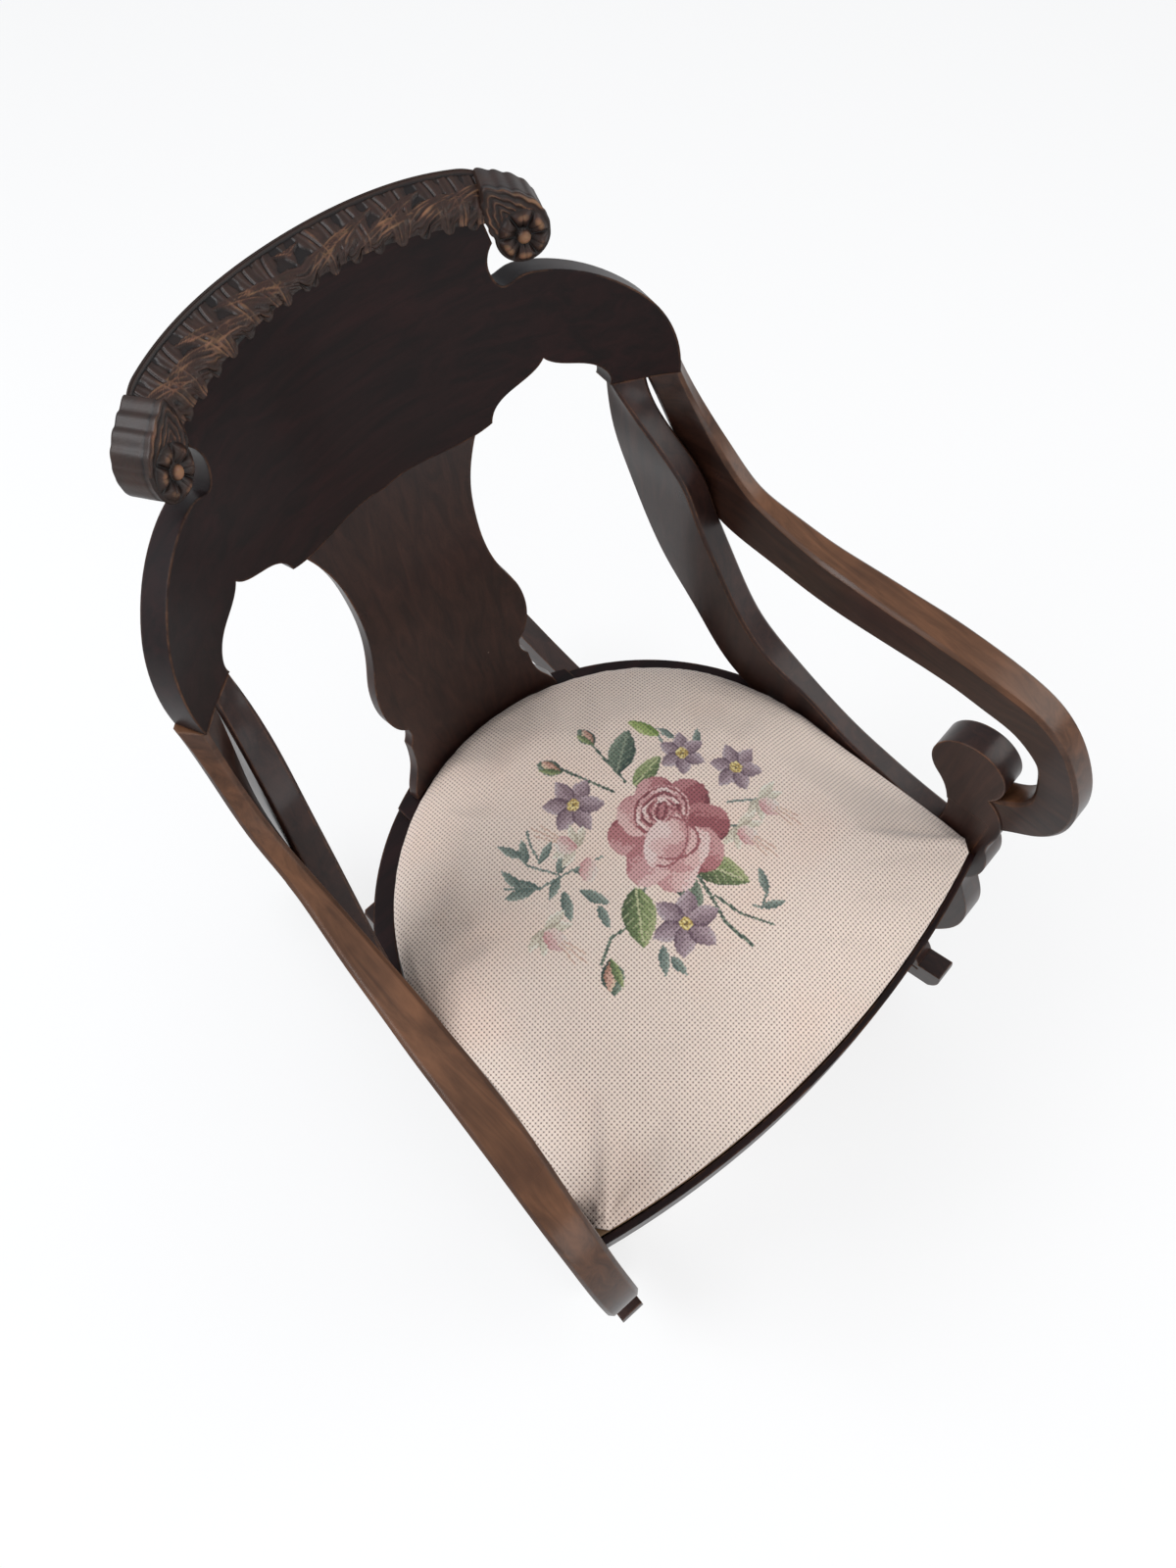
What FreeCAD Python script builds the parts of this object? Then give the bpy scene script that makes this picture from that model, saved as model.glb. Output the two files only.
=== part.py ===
import FreeCAD, Part
import math
import os
from FreeCAD import Vector as V

# Platform rocker with a rounded "gondola" back, vase splat, scroll arms and a drop-in seat.
# Millimetres. Z is up, the chair faces -Y, +X is the sitter's left, and the origin is the
# floor point at the middle of the chair's length and width, at rest.

# Boards and the side plane
board = 28.0                 # thickness of the sawn side boards: legs, runners, base rails
toe_in = math.radians(4.28)  # each side board turns in towards the back by this much
plane_x = 254.0              # outer face of a runner where it crosses Y = 0
rail_inset = 1.8             # gap between the cushion and the side rails
outward_lean = math.radians(0.8)  # the front legs open outward as they rise

# Rocking line: the runners roll on rounded bearing blocks
axis_y = -85.0
axis_z = 66.0
runner_radius = 1100.0
runner_depth = 36.0
runner_front = -365.5
runner_back = 367.6
bearing_radius = 90.0
bearing_gap = 1.5            # room that the fixed rocking line needs over the rounded block

# Base
foot_height = 12.0
foot_radius = 17.0
base_rail_depth = 31.0
base_front = -318.0
base_back = 330.0
base_stretcher_width = 56.0
rear_stretcher_inset = 160.0  # the rear stretcher stands this far in from the rail ends
base_stretcher_depth = 22.0
tenon_length = 12.0

# Seat
rim_z = 442.0                # top of the seat rails at the front leg
seat_tilt = math.radians(2.25)
rail_depth = 50.0
seat_centre_y = -100.0       # where the straight sides turn into the half ellipse
seat_half = 244.5            # half width of the cushion there
seat_front_half = 252.5      # half width at the front corners
seat_half_depth = 241.0
front_corner_y = -294.0
front_sagitta = 35.0
rim_width = 22.0
rear_rail_drop = 7.0         # the rear rail stands this much lower than the side rails
front_rail_thickness = 26.0
front_rail_reveal = 6.5      # how far the front rail stands out past the cushion
slip_depth = 20.0
slip_width = 45.0
ledger = 14.0
seat_play = 1.0              # gap between the slip seat and the rails
cushion_skirt = 19.0
cushion_crown = 24.0
web_width = 50.0
web_thick = 1.5

# Back
crest_radius = 324.0
crest_y = 209.0              # front of the crest in the middle, at the height crest_ref_z
crest_ref_z = 760.0
crest_lean = 0.172           # backward lean, as a slope
crest_thick = 24.0
crest_top_z = 935.0
crest_spread = 0.4           # share of a radial line that the sawn edges follow
crest_edge_drop = 0.35       # the shoulders' top edges fall away to the back by this slope
carving_thick = 34.0
carving_rise = 11.5          # height of the carved member's front above the crest
carving_back_rise = 0.25     # and its slope up to the back
carving_proud = 3.0
band_half = 136.0            # the straight run of the carving ends here, inside the scrolls
scroll_thick = 29.0
scroll_x = 149.2             # rosette centre
scroll_z = 913.5
scroll_radius = 20.5
rosette_radius = 18.5
rosette_depth = 5.0
splat_thick = 10.0
splat_lean = 0.2168
splat_foot_z = 433.0

# Springs, two upright coils on each side
coil_radius = 16.0
wire_radius = 2.0
coil_turns = 4
coil_spread = 44.0           # half the distance between the two coils of a pair
coil_inset = 26.0            # coil centre from the inner face of the side boards
plate = 3.0
bracket_half = 70.0
lower_seat_z = 40.0
upper_seat_z = 104.0
screw_radius = 2.2
screw_head = 4.5

dowel_radius = 4.5
dowel_length = 36.0


def arc(a, b, c):
    """Circular edge through three points."""
    return Part.Arc(a, b, c).toShape()


def spline(points):
    """Smooth edge through a few points."""
    curve = Part.BSplineCurve()
    curve.interpolate(points)
    return curve.toShape()


def line(a, b):
    return Part.LineSegment(a, b).toShape()


def face(edges):
    return Part.Face(Part.Wire(Part.__sortEdges__(edges)))


def mirrored(shape):
    """The same piece on the other side of the chair."""
    return shape.mirror(V(0, 0, 0), V(1, 0, 0))


def both(shape):
    return Part.makeCompound([mirrored(shape), shape])


def solid(shape):
    """The largest solid of a cut, without seams."""
    best = max(shape.Solids, key=lambda s: s.Volume)
    return best.removeSplitter().Solids[0]


def box(x0, x1, y0, y1, z0, z1):
    return Part.makeBox(x1 - x0, y1 - y0, z1 - z0, V(x0, y0, z0))


# Side boards are drawn flat in the YZ plane and set up in the turned-in plane.
def side_board(profile, thickness=board, lean=0.0, lean_z=0.0):
    """Right side board from a face drawn in YZ; its outer face passes through plane_x."""
    slab = profile.extrude(V(-thickness, 0, 0))
    slab.translate(V(plane_x, 0, 0))
    slab.rotate(V(plane_x, 0, lean_z), V(0, 1, 0), math.degrees(lean))
    slab.rotate(V(plane_x, 0, 0), V(0, 0, 1), math.degrees(toe_in))
    return slab


def board_x(y, z=0.0, lean_from=None):
    """X of the outer face of the side plane at a place along the chair."""
    rise = 0.0 if lean_from is None else (z - lean_from) * math.tan(outward_lean)
    return plane_x - y * math.tan(toe_in) + rise


def runner_top(y):
    return axis_z + runner_radius - math.sqrt((runner_radius - runner_depth) ** 2 - (y - axis_y) ** 2)


def runner_bottom(y):
    return axis_z + runner_radius - math.sqrt(runner_radius ** 2 - (y - axis_y) ** 2)


def crest_front(x, z, lean=crest_lean):
    """Y of the hollow front of the back at a place on it."""
    secant = math.sqrt(1 + lean * lean)
    return crest_y + lean * (z - crest_ref_z) - secant * (crest_radius - math.sqrt(crest_radius ** 2 - x * x))


def section(corners, chamfer):
    """Eight points of a four-cornered section with its arrises eased."""
    points = []
    for i in range(4):
        here = corners[i]
        before = (corners[i - 1] - here).normalize()
        after = (corners[(i + 1) % 4] - here).normalize()
        points.append(here + before * chamfer)
        points.append(here + after * chamfer)
    return points


def skin_strip(a, b):
    """Surface between two curves that share their parameters."""
    strip = Part.BSplineSurface()
    poles = [list(pair) for pair in zip(a.getPoles(), b.getPoles())]
    strip.buildFromPolesMultsKnots(poles, a.getMultiplicities(), [2, 2], a.getKnots(), [0, 1], False, False,
                                   a.Degree, 1)
    return strip.toShape()


def curve_through(points, along):
    """Smooth curve through points at given parameters, or a straight one through two."""
    curve = Part.BSplineCurve()
    if len(points) == 2:
        curve.buildFromPolesMultsKnots(points, [2, 2], [along[0], along[-1]], False, 1)
    else:
        curve.interpolate(Points=points, Parameters=along)
    return curve


def run_lengths(points):
    along = [0.0]
    for here, after in zip(points, points[1:]):
        along.append(along[-1] + (after - here).Length)
    return along


def closed_body(skin):
    shell = Part.makeShell(skin)
    shell.sewShape()
    body = Part.makeSolid(shell.Shells[0])
    if body.Volume < 0:
        body.reverse()
    return body


def member(stations, chamfer):
    """Curved wooden member: rails through the corners of its sections, skinned between them."""
    rings = [section(corners, chamfer) for corners in stations]
    count = len(rings[0])
    along = run_lengths([sum(ring[1:], ring[0]) * (1 / count) for ring in rings])
    rails = [curve_through([ring[k] for ring in rings], along) for k in range(count)]
    skin = [skin_strip(rails[k], rails[(k + 1) % count]) for k in range(count)]
    skin += [Part.Face(Part.makePolygon(ring + [ring[0]])) for ring in (rings[0], rings[-1])]
    return closed_body(skin)


def tilt_seat(shape):
    """Lower the back of the seat about the top of the rails at the front legs."""
    shape.rotate(V(0, front_corner_y, rim_z), V(1, 0, 0), -math.degrees(seat_tilt))
    return shape


def seat_plan(grow):
    """Edges of the D-shaped seat outline, grown outward by the given amount."""
    half = seat_half + grow
    depth = seat_half_depth + grow
    rim = Part.Ellipse(V(0, seat_centre_y, 0), max(half, depth), min(half, depth))
    if depth > half:
        rim.rotate(FreeCAD.Placement(V(0, 0, 0), V(0, 0, 1), 90))
        back = Part.ArcOfEllipse(rim, -math.pi / 2, math.pi / 2).toShape()
    else:
        back = Part.ArcOfEllipse(rim, 0, math.pi).toShape()
    corner = V(seat_front_half + grow, front_corner_y - grow, 0)
    other = V(-corner.x, corner.y, 0)
    front = arc(other, V(0, corner.y - front_sagitta, 0), corner)
    return [back, line(V(-half, seat_centre_y, 0), other), front, line(corner, V(half, seat_centre_y, 0))]


def seat_slab(grow, z0, height):
    slab = face(seat_plan(grow)).extrude(V(0, 0, height))
    slab.translate(V(0, 0, z0))
    return slab


# The back: planks of a leaning cylinder, sawn to outlines that run square to its face
def leaning_cylinder(radius, base, height, lean):
    """Cylinder with its seam turned away from the back of the chair."""
    body = Part.makeCylinder(radius, height)
    body.rotate(V(0, 0, 0), V(0, 0, 1), -90)
    body.rotate(V(0, 0, 0), V(1, 0, 0), -math.degrees(math.atan(lean)))
    body.translate(base)
    return body


def bent_plank(front, thick, z0, z1, lean, shift=0.0):
    """Bent plank between two heights; front is how far its face stands before the crest's."""
    base_y = crest_y + shift + lean * (z0 - crest_ref_z) - math.sqrt(1 + lean * lean) * crest_radius
    height = (z1 - z0) * math.sqrt(1 + lean * lean)
    inner = crest_radius - front
    base = V(0, base_y, z0)
    outside = leaning_cylinder(inner + thick, base, height, lean)
    return outside.cut(leaning_cylinder(inner, base, height, lean))


def sawn_outline(half, lean=crest_lean, drop=0.0):
    """Slice through the back from half of an outline on its face, as (x, z) runs."""
    def at(x, z, y):
        face_y = crest_front(x, z, lean)
        axis = face_y - math.sqrt(1 + lean * lean) * math.sqrt(crest_radius ** 2 - x * x)
        spread = 1 + crest_spread * (y - face_y) / (face_y - axis)
        return V(x * spread, y, z - drop * (y - face_y))

    planes = (60.0, 330.0)
    skin = []
    rims = ([], [])
    for side in (1, -1):
        for part in half:
            points = [(side * x, z) for x, z in part]
            along = run_lengths([V(x, 0, z) for x, z in points])
            pair = [curve_through([at(x, z, y) for x, z in points], along) for y in planes]
            skin.append(skin_strip(pair[0], pair[1]))
            for rim_edges, curve in zip(rims, pair):
                rim_edges.append(curve.toShape())
    skin += [face(edges) for edges in rims]
    return closed_body(skin)


joint_in = (190.0, 775.0)    # crest end, inner and outer corner of its joint with stile and arm
joint_out = (233.0, 785.0)
joint_split = (213.0, 780.5)  # where the stile meets the arm on that joint


def crest_rail():
    top = (123, crest_top_z + 8)
    half = [
        [(0, 758), (45, 759), (87, 760), (101, 765)],
        [(101, 765), (113, 784), (135, 797), (148, 810)],
        [(148, 810), (164, 801), (181, 796), (189, 788), joint_in],
        [joint_in, joint_out],
        [joint_out, (233.5, 805), (230, 828), (221, 848), (210, 860), (198, 869), (176, 879), (156, 883), (141, 881),
         (131, 877), (124.5, 886), (123.5, 899), (129, 911)],
        [(129, 911), top],
        [top, (0, crest_top_z + 8)],
    ]
    plank = bent_plank(0, crest_thick, 700.0, 1060.0, crest_lean)
    return solid(plank.common(sawn_outline(half, drop=crest_edge_drop)).cut(crest_carving()).cut(splat()))


def scroll_axis():
    """Where the rosette stands on the crest and the way the crest runs back there."""
    start = V(scroll_x, crest_front(scroll_x, scroll_z), scroll_z)
    back = V(scroll_x, math.sqrt(crest_radius ** 2 - scroll_x ** 2), -crest_lean * crest_radius).normalize()
    return start - back * carving_proud, back


def crest_carving():
    """Rolled top member that curls under at each end, with a rosette on each scroll."""
    stations = []
    for share in (-1, -0.78, -0.52, -0.26, 0, 0.26, 0.52, 0.78, 1):
        x = share * band_half
        low = crest_top_z + 4 - 13 * share ** 2
        high = crest_top_z + carving_rise - 9 * share ** 4
        turn = math.asin(x / crest_radius)
        out = V(math.sin(turn), math.cos(turn), 0)
        front = V(x, crest_front(x, low), low) - out * carving_proud
        top = front + out * (crest_lean * (high - low)) + V(0, 0, high - low)
        ridge = top + out * carving_thick + V(0, 0, carving_back_rise * carving_thick)
        stations.append([front, top, ridge, V(ridge.x, ridge.y, low)])
    whole = member(stations, 2.0)
    start, back = scroll_axis()
    right = V(back.y, -back.x, 0).normalize()
    up = right.cross(back)
    if up.z < 0:
        up = up * -1
    r = scroll_radius

    def at(u, v):
        return start + right * u + up * v

    curl = face([
        arc(at(-r, 2), at(0, -r), at(r, 0)),
        spline([at(r, 0), at(r - 1, 8), at(r - 4.5, 16), at(8, 25), at(-3, 31), at(-24, 37.5)]),
        line(at(-24, 37.5), at(-27, 18)),
        line(at(-27, 18), at(-r, 2)),
    ])
    curl = curl.extrude(back * scroll_thick)
    boss = Part.makeCone(rosette_radius, rosette_radius - rosette_depth, rosette_depth + 2, start + back * 2, back * -1)
    bud = Part.makeSphere(6, start - back * (rosette_depth - 1))
    end = curl.fuse([boss, bud])
    return solid(whole.fuse([end, mirrored(end)]))


def splat():
    half = [
        [(0, 775), (60, 775)],
        [(60, 775), (60, 759.5)],
        [(60, 759.5), (87, 760)],
        [(87, 760), (76.5, 735), (70.5, 713), (67.5, 687), (67, 661), (70, 634), (77, 610), (84, 592), (87.5, 573),
         (86, 547), (80, 530), (71, 518)],
        [(71, 518), (70.5, 506), (76, 496)],
        [(76, 496), (77.5, 479), (82, 463), (91, 448), (96, splat_foot_z)],
        [(96, splat_foot_z), (0, splat_foot_z)],
    ]
    plank = bent_plank(0, splat_thick, 380.0, 880.0, splat_lean, 2.0)
    return solid(plank.common(sawn_outline(half, lean=splat_lean)))


def sweep_x(y):
    """Inner face of the side rail at a place along the seat."""
    slope = (seat_front_half - seat_half) / (seat_centre_y - front_corner_y)
    return seat_half + rail_inset + (seat_centre_y - y) * slope


def side_frame():
    """Back stile that sweeps down and forward and runs on as the side rail of the seat."""
    xi, zi = joint_in
    xo, zo = joint_split
    skew = V(13, 19.5, 0)
    front = V(xi, crest_front(xi, zi), zi)
    outer = V(xo, crest_front(xo, zo), zo)
    stations = [[front + skew, front, outer, outer + skew * 1.15]]
    down = rail_depth
    # rear point (y, z), front point (y, z) with z from the top of the rails, inner x, thickness
    run = [
        ((152, 296), (112, 303), 195, 24), ((140, 236), (74, 261), 204, 25), ((121, 188), (57, 222), 209, 26),
        ((96, 134), (33, 170), 216, 26), ((55, 69), (-5, 99), 227, 26), ((8, 6), (-48, 58), 237, 26),
        ((-38, -24), (-85, 38), sweep_x(-62), 22), ((-86, -43), (-130, 21), sweep_x(-108), 23),
        ((-145, -down), (-170, 11), sweep_x(-158), 24), ((-200, -down), (-207, 4), sweep_x(-204), 25),
        ((-255, -down), (-255, 0), sweep_x(-255), 26),
    ]
    for rear, fore, x, thick in run:
        r = V(x - 3, rear[0], rim_z + rear[1])
        f = V(x, fore[0], rim_z + fore[1])
        across = V(thick, thick * math.tan(toe_in), 0)
        stations.append([r, f, f + across, r + across])
    return member(stations, 2.5)


def arm():
    """Scroll arm: leaves the crest beside the stile, dips, and curls under at the front."""
    xo, zo = joint_out
    xi, zi = joint_split
    skew = V(15.5, 18.5, 0)
    top = V(xo, crest_front(xo, zo), zo)
    low = V(xi, crest_front(xi, zi), zi)
    stations = [[low, top, top + skew, low + skew]]
    # inner upper edge (x, y, z), inner lower edge (x, y, z), both from the top of the rails, and thickness
    run = [
        ((236, 90, 310), (224, 112, 286), (15, 10)), ((238, 63, 281), (231, 97, 248), (17, 4)),
        ((238, 30, 259), (235, 62, 208), (18, 2)), ((238, -8, 251), (236, 0, 201), (22, 1)),
        ((239, -48, 246), (237, -43, 200), (26, 1)), ((240, -89, 247), (238, -84, 202), (29, 1)),
        ((242, -128, 248), (240, -130, 207), (31, 1)), ((244, -166, 250), (242, -172, 212), (32, 1)),
        ((247, -204, 249), (245, -205, 212), (32, 1)), ((251, -240, 245), (249, -232, 207), (31, 1)),
        ((256, -275, 235), (253, -258, 201), (29, 1.5)), ((259, -302, 216), (254.5, -278, 191), (28, 2)),
        ((260.5, -325, 186), (256, -292, 177), (28, 2)), ((260.5, -338, 160), (257, -299, 159), (28, 2)),
        ((259.5, -343, 119), (257, -304, 133), (28, 2)), ((258, -332, 91), (256, -298, 116), (28, 2)),
        ((256.5, -317, 75), (255, -289, 106), (28, 2)), ((255, -300, 55), (254, -275, 96), (28, 2)),
    ]
    for high, under, thick in run:
        h = V(high[0], high[1], rim_z + high[2])
        u = V(under[0], under[1], rim_z + under[2])
        across = V(thick[0], thick[1], 0)
        stations.append([u, h, h + across, u + across])
    return member(stations, 3.0)


def leg_profile():
    """Front leg in side view: volute at the top, knee, bulge and a foot on the runner."""
    foot_z = runner_top(-300) - 6
    drop = rim_z - rail_depth
    eye = V(0, -247, rim_z + 116)
    r = 36.5

    def at(y, share):
        """A point between the runner (0) and the underside of the seat rail (1)."""
        return V(0, y, foot_z + (drop - foot_z) * share)

    volute = arc(V(0, -277.5, rim_z + 95), eye + V(0, 0, r), V(0, -225, rim_z + 87))
    neck_back = spline([V(0, -225, rim_z + 87), V(0, -244, rim_z + 62), V(0, -251, rim_z + 30), V(0, -251, rim_z)])
    rail_seat = line(V(0, -251, rim_z), V(0, -251, drop))
    back = spline([V(0, -251, drop), at(-259, 0.88), at(-268, 0.74), at(-270, 0.60), at(-262, 0.44), at(-250, 0.28),
                   at(-250, 0.12), at(-264, 0)])
    sole = line(at(-264, 0), at(-337, 0))
    foot = spline([at(-337, 0), at(-331, 0.07), at(-310, 0.16), at(-299, 0.26), at(-305, 0.36), at(-321, 0.48),
                   at(-332, 0.59), at(-334, 0.69), at(-327, 0.80), at(-314, 0.89), at(-304, 0.98)])
    knee = arc(at(-304, 0.98), V(0, -314.5, drop + 34), V(0, -305, drop + 64))
    neck_front = spline([V(0, -305, drop + 64), V(0, -303, rim_z + 32), V(0, -304, rim_z + 56),
                         V(0, -296, rim_z + 78), V(0, -277.5, rim_z + 95)])
    return face([volute, neck_back, rail_seat, back, sole, foot, knee, neck_front])


def runner():
    z = axis_z + runner_radius
    deep = runner_radius
    shallow = runner_radius - runner_depth

    def on(radius, y):
        return V(0, y, z - math.sqrt(radius ** 2 - (y - axis_y) ** 2))

    bottom = arc(on(deep, runner_front + 8), on(deep, axis_y), on(deep, runner_back - 14))
    top = arc(on(shallow, runner_front + 3), on(shallow, axis_y), on(shallow, runner_back - 8))
    mid_front = V(0, runner_front, (on(deep, runner_front).z + on(shallow, runner_front).z) / 2)
    mid_back = V(0, runner_back, (on(deep, runner_back).z + on(shallow, runner_back).z) / 2)
    nose = arc(on(deep, runner_front + 8), mid_front, on(shallow, runner_front + 3))
    tail = arc(on(deep, runner_back - 14), mid_back, on(shallow, runner_back - 8))
    return side_board(face([bottom, nose, top, tail]))


def front_leg():
    leg = side_board(leg_profile(), lean=outward_lean, lean_z=runner_top(-300))
    leg = solid(leg.cut(runner()))
    return solid(leg.cut(tilt_seat(seat_slab(0.7, rim_z - slip_depth - 0.5, 80))))


def rear_leg():
    """Sabre leg from under the back of the seat to the runner."""
    top_z = rim_z - rail_depth + 2
    foot_z = runner_top(195) - 8
    foot_x = board_x(195) - board / 2
    stations = []
    for share, y, x in ((0.0, 70, 190), (0.3, 84, 194), (0.6, 116, 202), (0.85, 160, 211), (1.0, 195, foot_x)):
        z = top_z + (foot_z - top_z) * share
        half = 18 - 4 * share
        stations.append([V(x - half, y - half, z), V(x + half, y - half, z), V(x + half, y + half, z),
                         V(x - half, y + half, z)])
    return solid(member(stations, 3.0).cut(runner()).cut(rear_rail()))


def rear_rail():
    """Bent rear seat rail between the two side frames."""
    depth = rail_depth - rear_rail_drop
    ring = seat_slab(rim_width, rim_z - rail_depth, depth)
    ring = ring.cut(seat_slab(rail_inset, rim_z - rail_depth - 1, depth + 2))
    ring = ring.common(box(-400, 400, -35, 300, 0, 600))
    tilt_seat(ring)
    return solid(ring.cut(both(side_frame())))


def front_rail():
    """Bowed front seat rail between the front legs, with a rabbet that seats the slip seat."""
    radius = (seat_front_half ** 2 + front_sagitta ** 2) / (2 * front_sagitta)
    centre = V(0, front_corner_y - front_sagitta + radius, rim_z - rail_depth)
    out = radius + front_rail_reveal
    bar = Part.makeCylinder(out, rail_depth, centre).cut(Part.makeCylinder(out - front_rail_thickness, rail_depth, centre))
    bar = bar.common(box(-seat_front_half - 40, seat_front_half + 40, -400, -200, 0, 600))
    bar = bar.cut(seat_slab(0.2, rim_z - slip_depth - 0.2, 80))
    return solid(tilt_seat(bar).cut(both(front_leg())).cut(both(side_frame())))


def splat_shoe():
    """Moulded shoe on the rear rail that holds the splat's foot."""
    low = rim_z - rear_rail_drop
    block = seat_slab(rim_width - 2, low, 10).cut(seat_slab(rail_inset, low - 1, 20))
    block = tilt_seat(block.common(box(-116, 116, 60, 300, 0, 600)))
    return solid(block.cut(splat()))


def seat_ledgers():
    """Strips screwed inside the rails that the slip seat rests on."""
    top = rim_z - slip_depth - 0.3
    strip = seat_slab(-seat_play, top - ledger, ledger)
    strip = tilt_seat(strip.cut(seat_slab(-seat_play - ledger, top - ledger - 1, ledger + 2)))
    rails = [front_rail(), rear_rail(), both(side_frame()), both(rear_leg()), both(front_leg())]
    return solid(strip.cut(Part.makeCompound(rails)))


def seat_frame():
    """Loose frame of the slip seat."""
    z0 = rim_z - slip_depth
    ring = seat_slab(-seat_play, z0, slip_depth).cut(seat_slab(-slip_width, z0 - 1, slip_depth + 2))
    return tilt_seat(ring)


def webbing():
    """Jute straps across the slip seat, one layer over the other."""
    z = rim_z + 0.1
    reach = seat_half - slip_width + 30
    limit = seat_slab(-slip_width + 30, z - 1, 10)
    straps = []
    for y in (-250, -165, -80, 5):
        straps.append(box(-reach, reach, y - web_width / 2, y + web_width / 2, z, z + web_thick))
    for x in (-150, -50, 50, 150):
        straps.append(box(x - web_width / 2, x + web_width / 2, -300, 120, z + web_thick, z + 2 * web_thick))
    return Part.makeCompound([tilt_seat(strap.common(limit)) for strap in straps])


def cushion():
    """Stuffed seat: drawn-in sides and a low crown, with a D-shaped outline."""
    z0 = rim_z + 2 * web_thick + 0.4
    levels = [(-3, 0), (0, cushion_skirt * 0.45), (-1, cushion_skirt), (-9, cushion_skirt + cushion_crown * 0.34),
              (-30, cushion_skirt + cushion_crown * 0.62), (-70, cushion_skirt + cushion_crown * 0.86),
              (-140, cushion_skirt + cushion_crown)]
    wires = []
    for grow, rise in levels:
        wire = Part.Wire(Part.__sortEdges__(seat_plan(grow)))
        wire.translate(V(0, 0, z0 + rise))
        wires.append(wire)
    return tilt_seat(Part.makeLoft(wires, True, True))


# Rocking gear
def base_rail():
    """Side rail of the platform, with rounded ends and a rounded bearing block on top."""
    z0 = foot_height
    z1 = z0 + base_rail_depth
    top = axis_z - bearing_gap
    rise = top - z1
    half = math.sqrt(bearing_radius ** 2 - (bearing_radius - rise) ** 2)
    crown = arc(V(0, axis_y - half, z1), V(0, axis_y, top), V(0, axis_y + half, z1))
    drop = base_rail_depth * 0.45
    edges = [
        crown,
        line(V(0, axis_y + half, z1), V(0, base_back - 40, z1)),
        arc(V(0, base_back - 40, z1), V(0, base_back - 12, z1 - 5), V(0, base_back, z1 - drop)),
        line(V(0, base_back, z1 - drop), V(0, base_back, z0)),
        line(V(0, base_back, z0), V(0, base_front, z0)),
        line(V(0, base_front, z0), V(0, base_front, z1 - drop)),
        arc(V(0, base_front, z1 - drop), V(0, base_front + 12, z1 - 5), V(0, base_front + 40, z1)),
        line(V(0, base_front + 40, z1), V(0, axis_y - half, z1)),
    ]
    return side_board(face(edges))


def base_stretcher(y):
    """Board between the base rails, tenoned into them."""
    z0 = foot_height + 4
    reach = board_x(y) - board + tenon_length
    return box(-reach, reach, y - base_stretcher_width / 2, y + base_stretcher_width / 2, z0,
               z0 + base_stretcher_depth)


def body_stretcher(y):
    """Cross rail between the runners, tenoned into them."""
    middle = (runner_top(y) + runner_bottom(y)) / 2
    reach = board_x(y) - board + tenon_length
    return box(-reach, reach, y - 16, y + 16, middle - 11, middle + 11)


def feet():
    """Turned glides under the ends of the base rails."""
    pads = []
    for y in (base_front + 45, base_back - 45):
        x = board_x(y) - board / 2
        for side in (-1, 1):
            pads.append(Part.makeCone(foot_radius - 5, foot_radius - 4, foot_height, V(side * x, y, 0)))
    return Part.makeCompound(pads)


def bracket(shelf_z, down):
    """Angle plate: an upright flange on a board's inner face and a shelf that seats two coils."""
    inner = plane_x - board
    shelf = box(inner - coil_inset - coil_radius - 6, inner, axis_y - bracket_half, axis_y + bracket_half,
                shelf_z - plate if down else shelf_z, shelf_z if down else shelf_z + plate)
    low, high = (shelf_z - 26, shelf_z) if down else (shelf_z - 26, shelf_z + plate)
    flange = box(inner - plate, inner, axis_y - bracket_half, axis_y + bracket_half, low, high)
    angle = shelf.fuse(flange)
    for y in (axis_y - coil_spread, axis_y + coil_spread):
        angle = angle.cut(Part.makeCylinder(5, 20, V(inner - coil_inset, y, shelf_z - 10)))
    angle.rotate(V(plane_x, 0, 0), V(0, 0, 1), math.degrees(toe_in))
    return solid(angle)


def biarc(p0, t0, p1, t1):
    """Two arcs that join smoothly between two points with given directions."""
    v = p1 - p0
    t = t0 + t1
    k = 2 * (1 - t0.dot(t1))
    d = (-v.dot(t) + math.sqrt(v.dot(t) ** 2 + k * v.dot(v))) / k
    q0 = p0 + t0 * d
    q1 = p1 - t1 * d
    joint = (q0 + q1) * 0.5
    arcs = []
    for a, q, b in ((p0, q0, joint), (joint, q1, p1)):
        w = ((q - a).normalize()).dot((b - a).normalize())
        arcs.append(arc(a, (a + q * (2 * w) + b) * (0.5 / (1 + w)), b))
    return arcs


def coil(y):
    """One upright coil spring between the two brackets, as one unbroken eight-sided wire."""
    r = coil_radius - wire_radius
    z0 = lower_seat_z + wire_radius
    height = upper_seat_z - lower_seat_z - 2 * wire_radius
    quarters = coil_turns * 4
    points = []
    ways = []
    for i in range(quarters + 1):
        a = i * math.pi / 2
        points.append(V(r * math.cos(a), r * math.sin(a), z0 + height * i / quarters))
        ways.append(V(-r * math.sin(a), r * math.cos(a), height / quarters * 2 / math.pi).normalize())
    path = []
    for i in range(quarters):
        path += biarc(points[i], ways[i], points[i + 1], ways[i + 1])
    across = V(1, 0, 0)
    beside = ways[0].cross(across).normalize()
    corners = [points[0] + (across * math.cos(a) + beside * math.sin(a)) * wire_radius
               for a in (math.radians(22.5 + 45 * k) for k in range(9))]
    ring = Part.makePolygon(corners)
    tube = Part.Wire(path).makePipeShell([ring], True, False)
    tube.translate(V(plane_x - board - coil_inset, y, 0))
    tube.rotate(V(plane_x, 0, 0), V(0, 0, 1), math.degrees(toe_in))
    return tube


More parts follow.
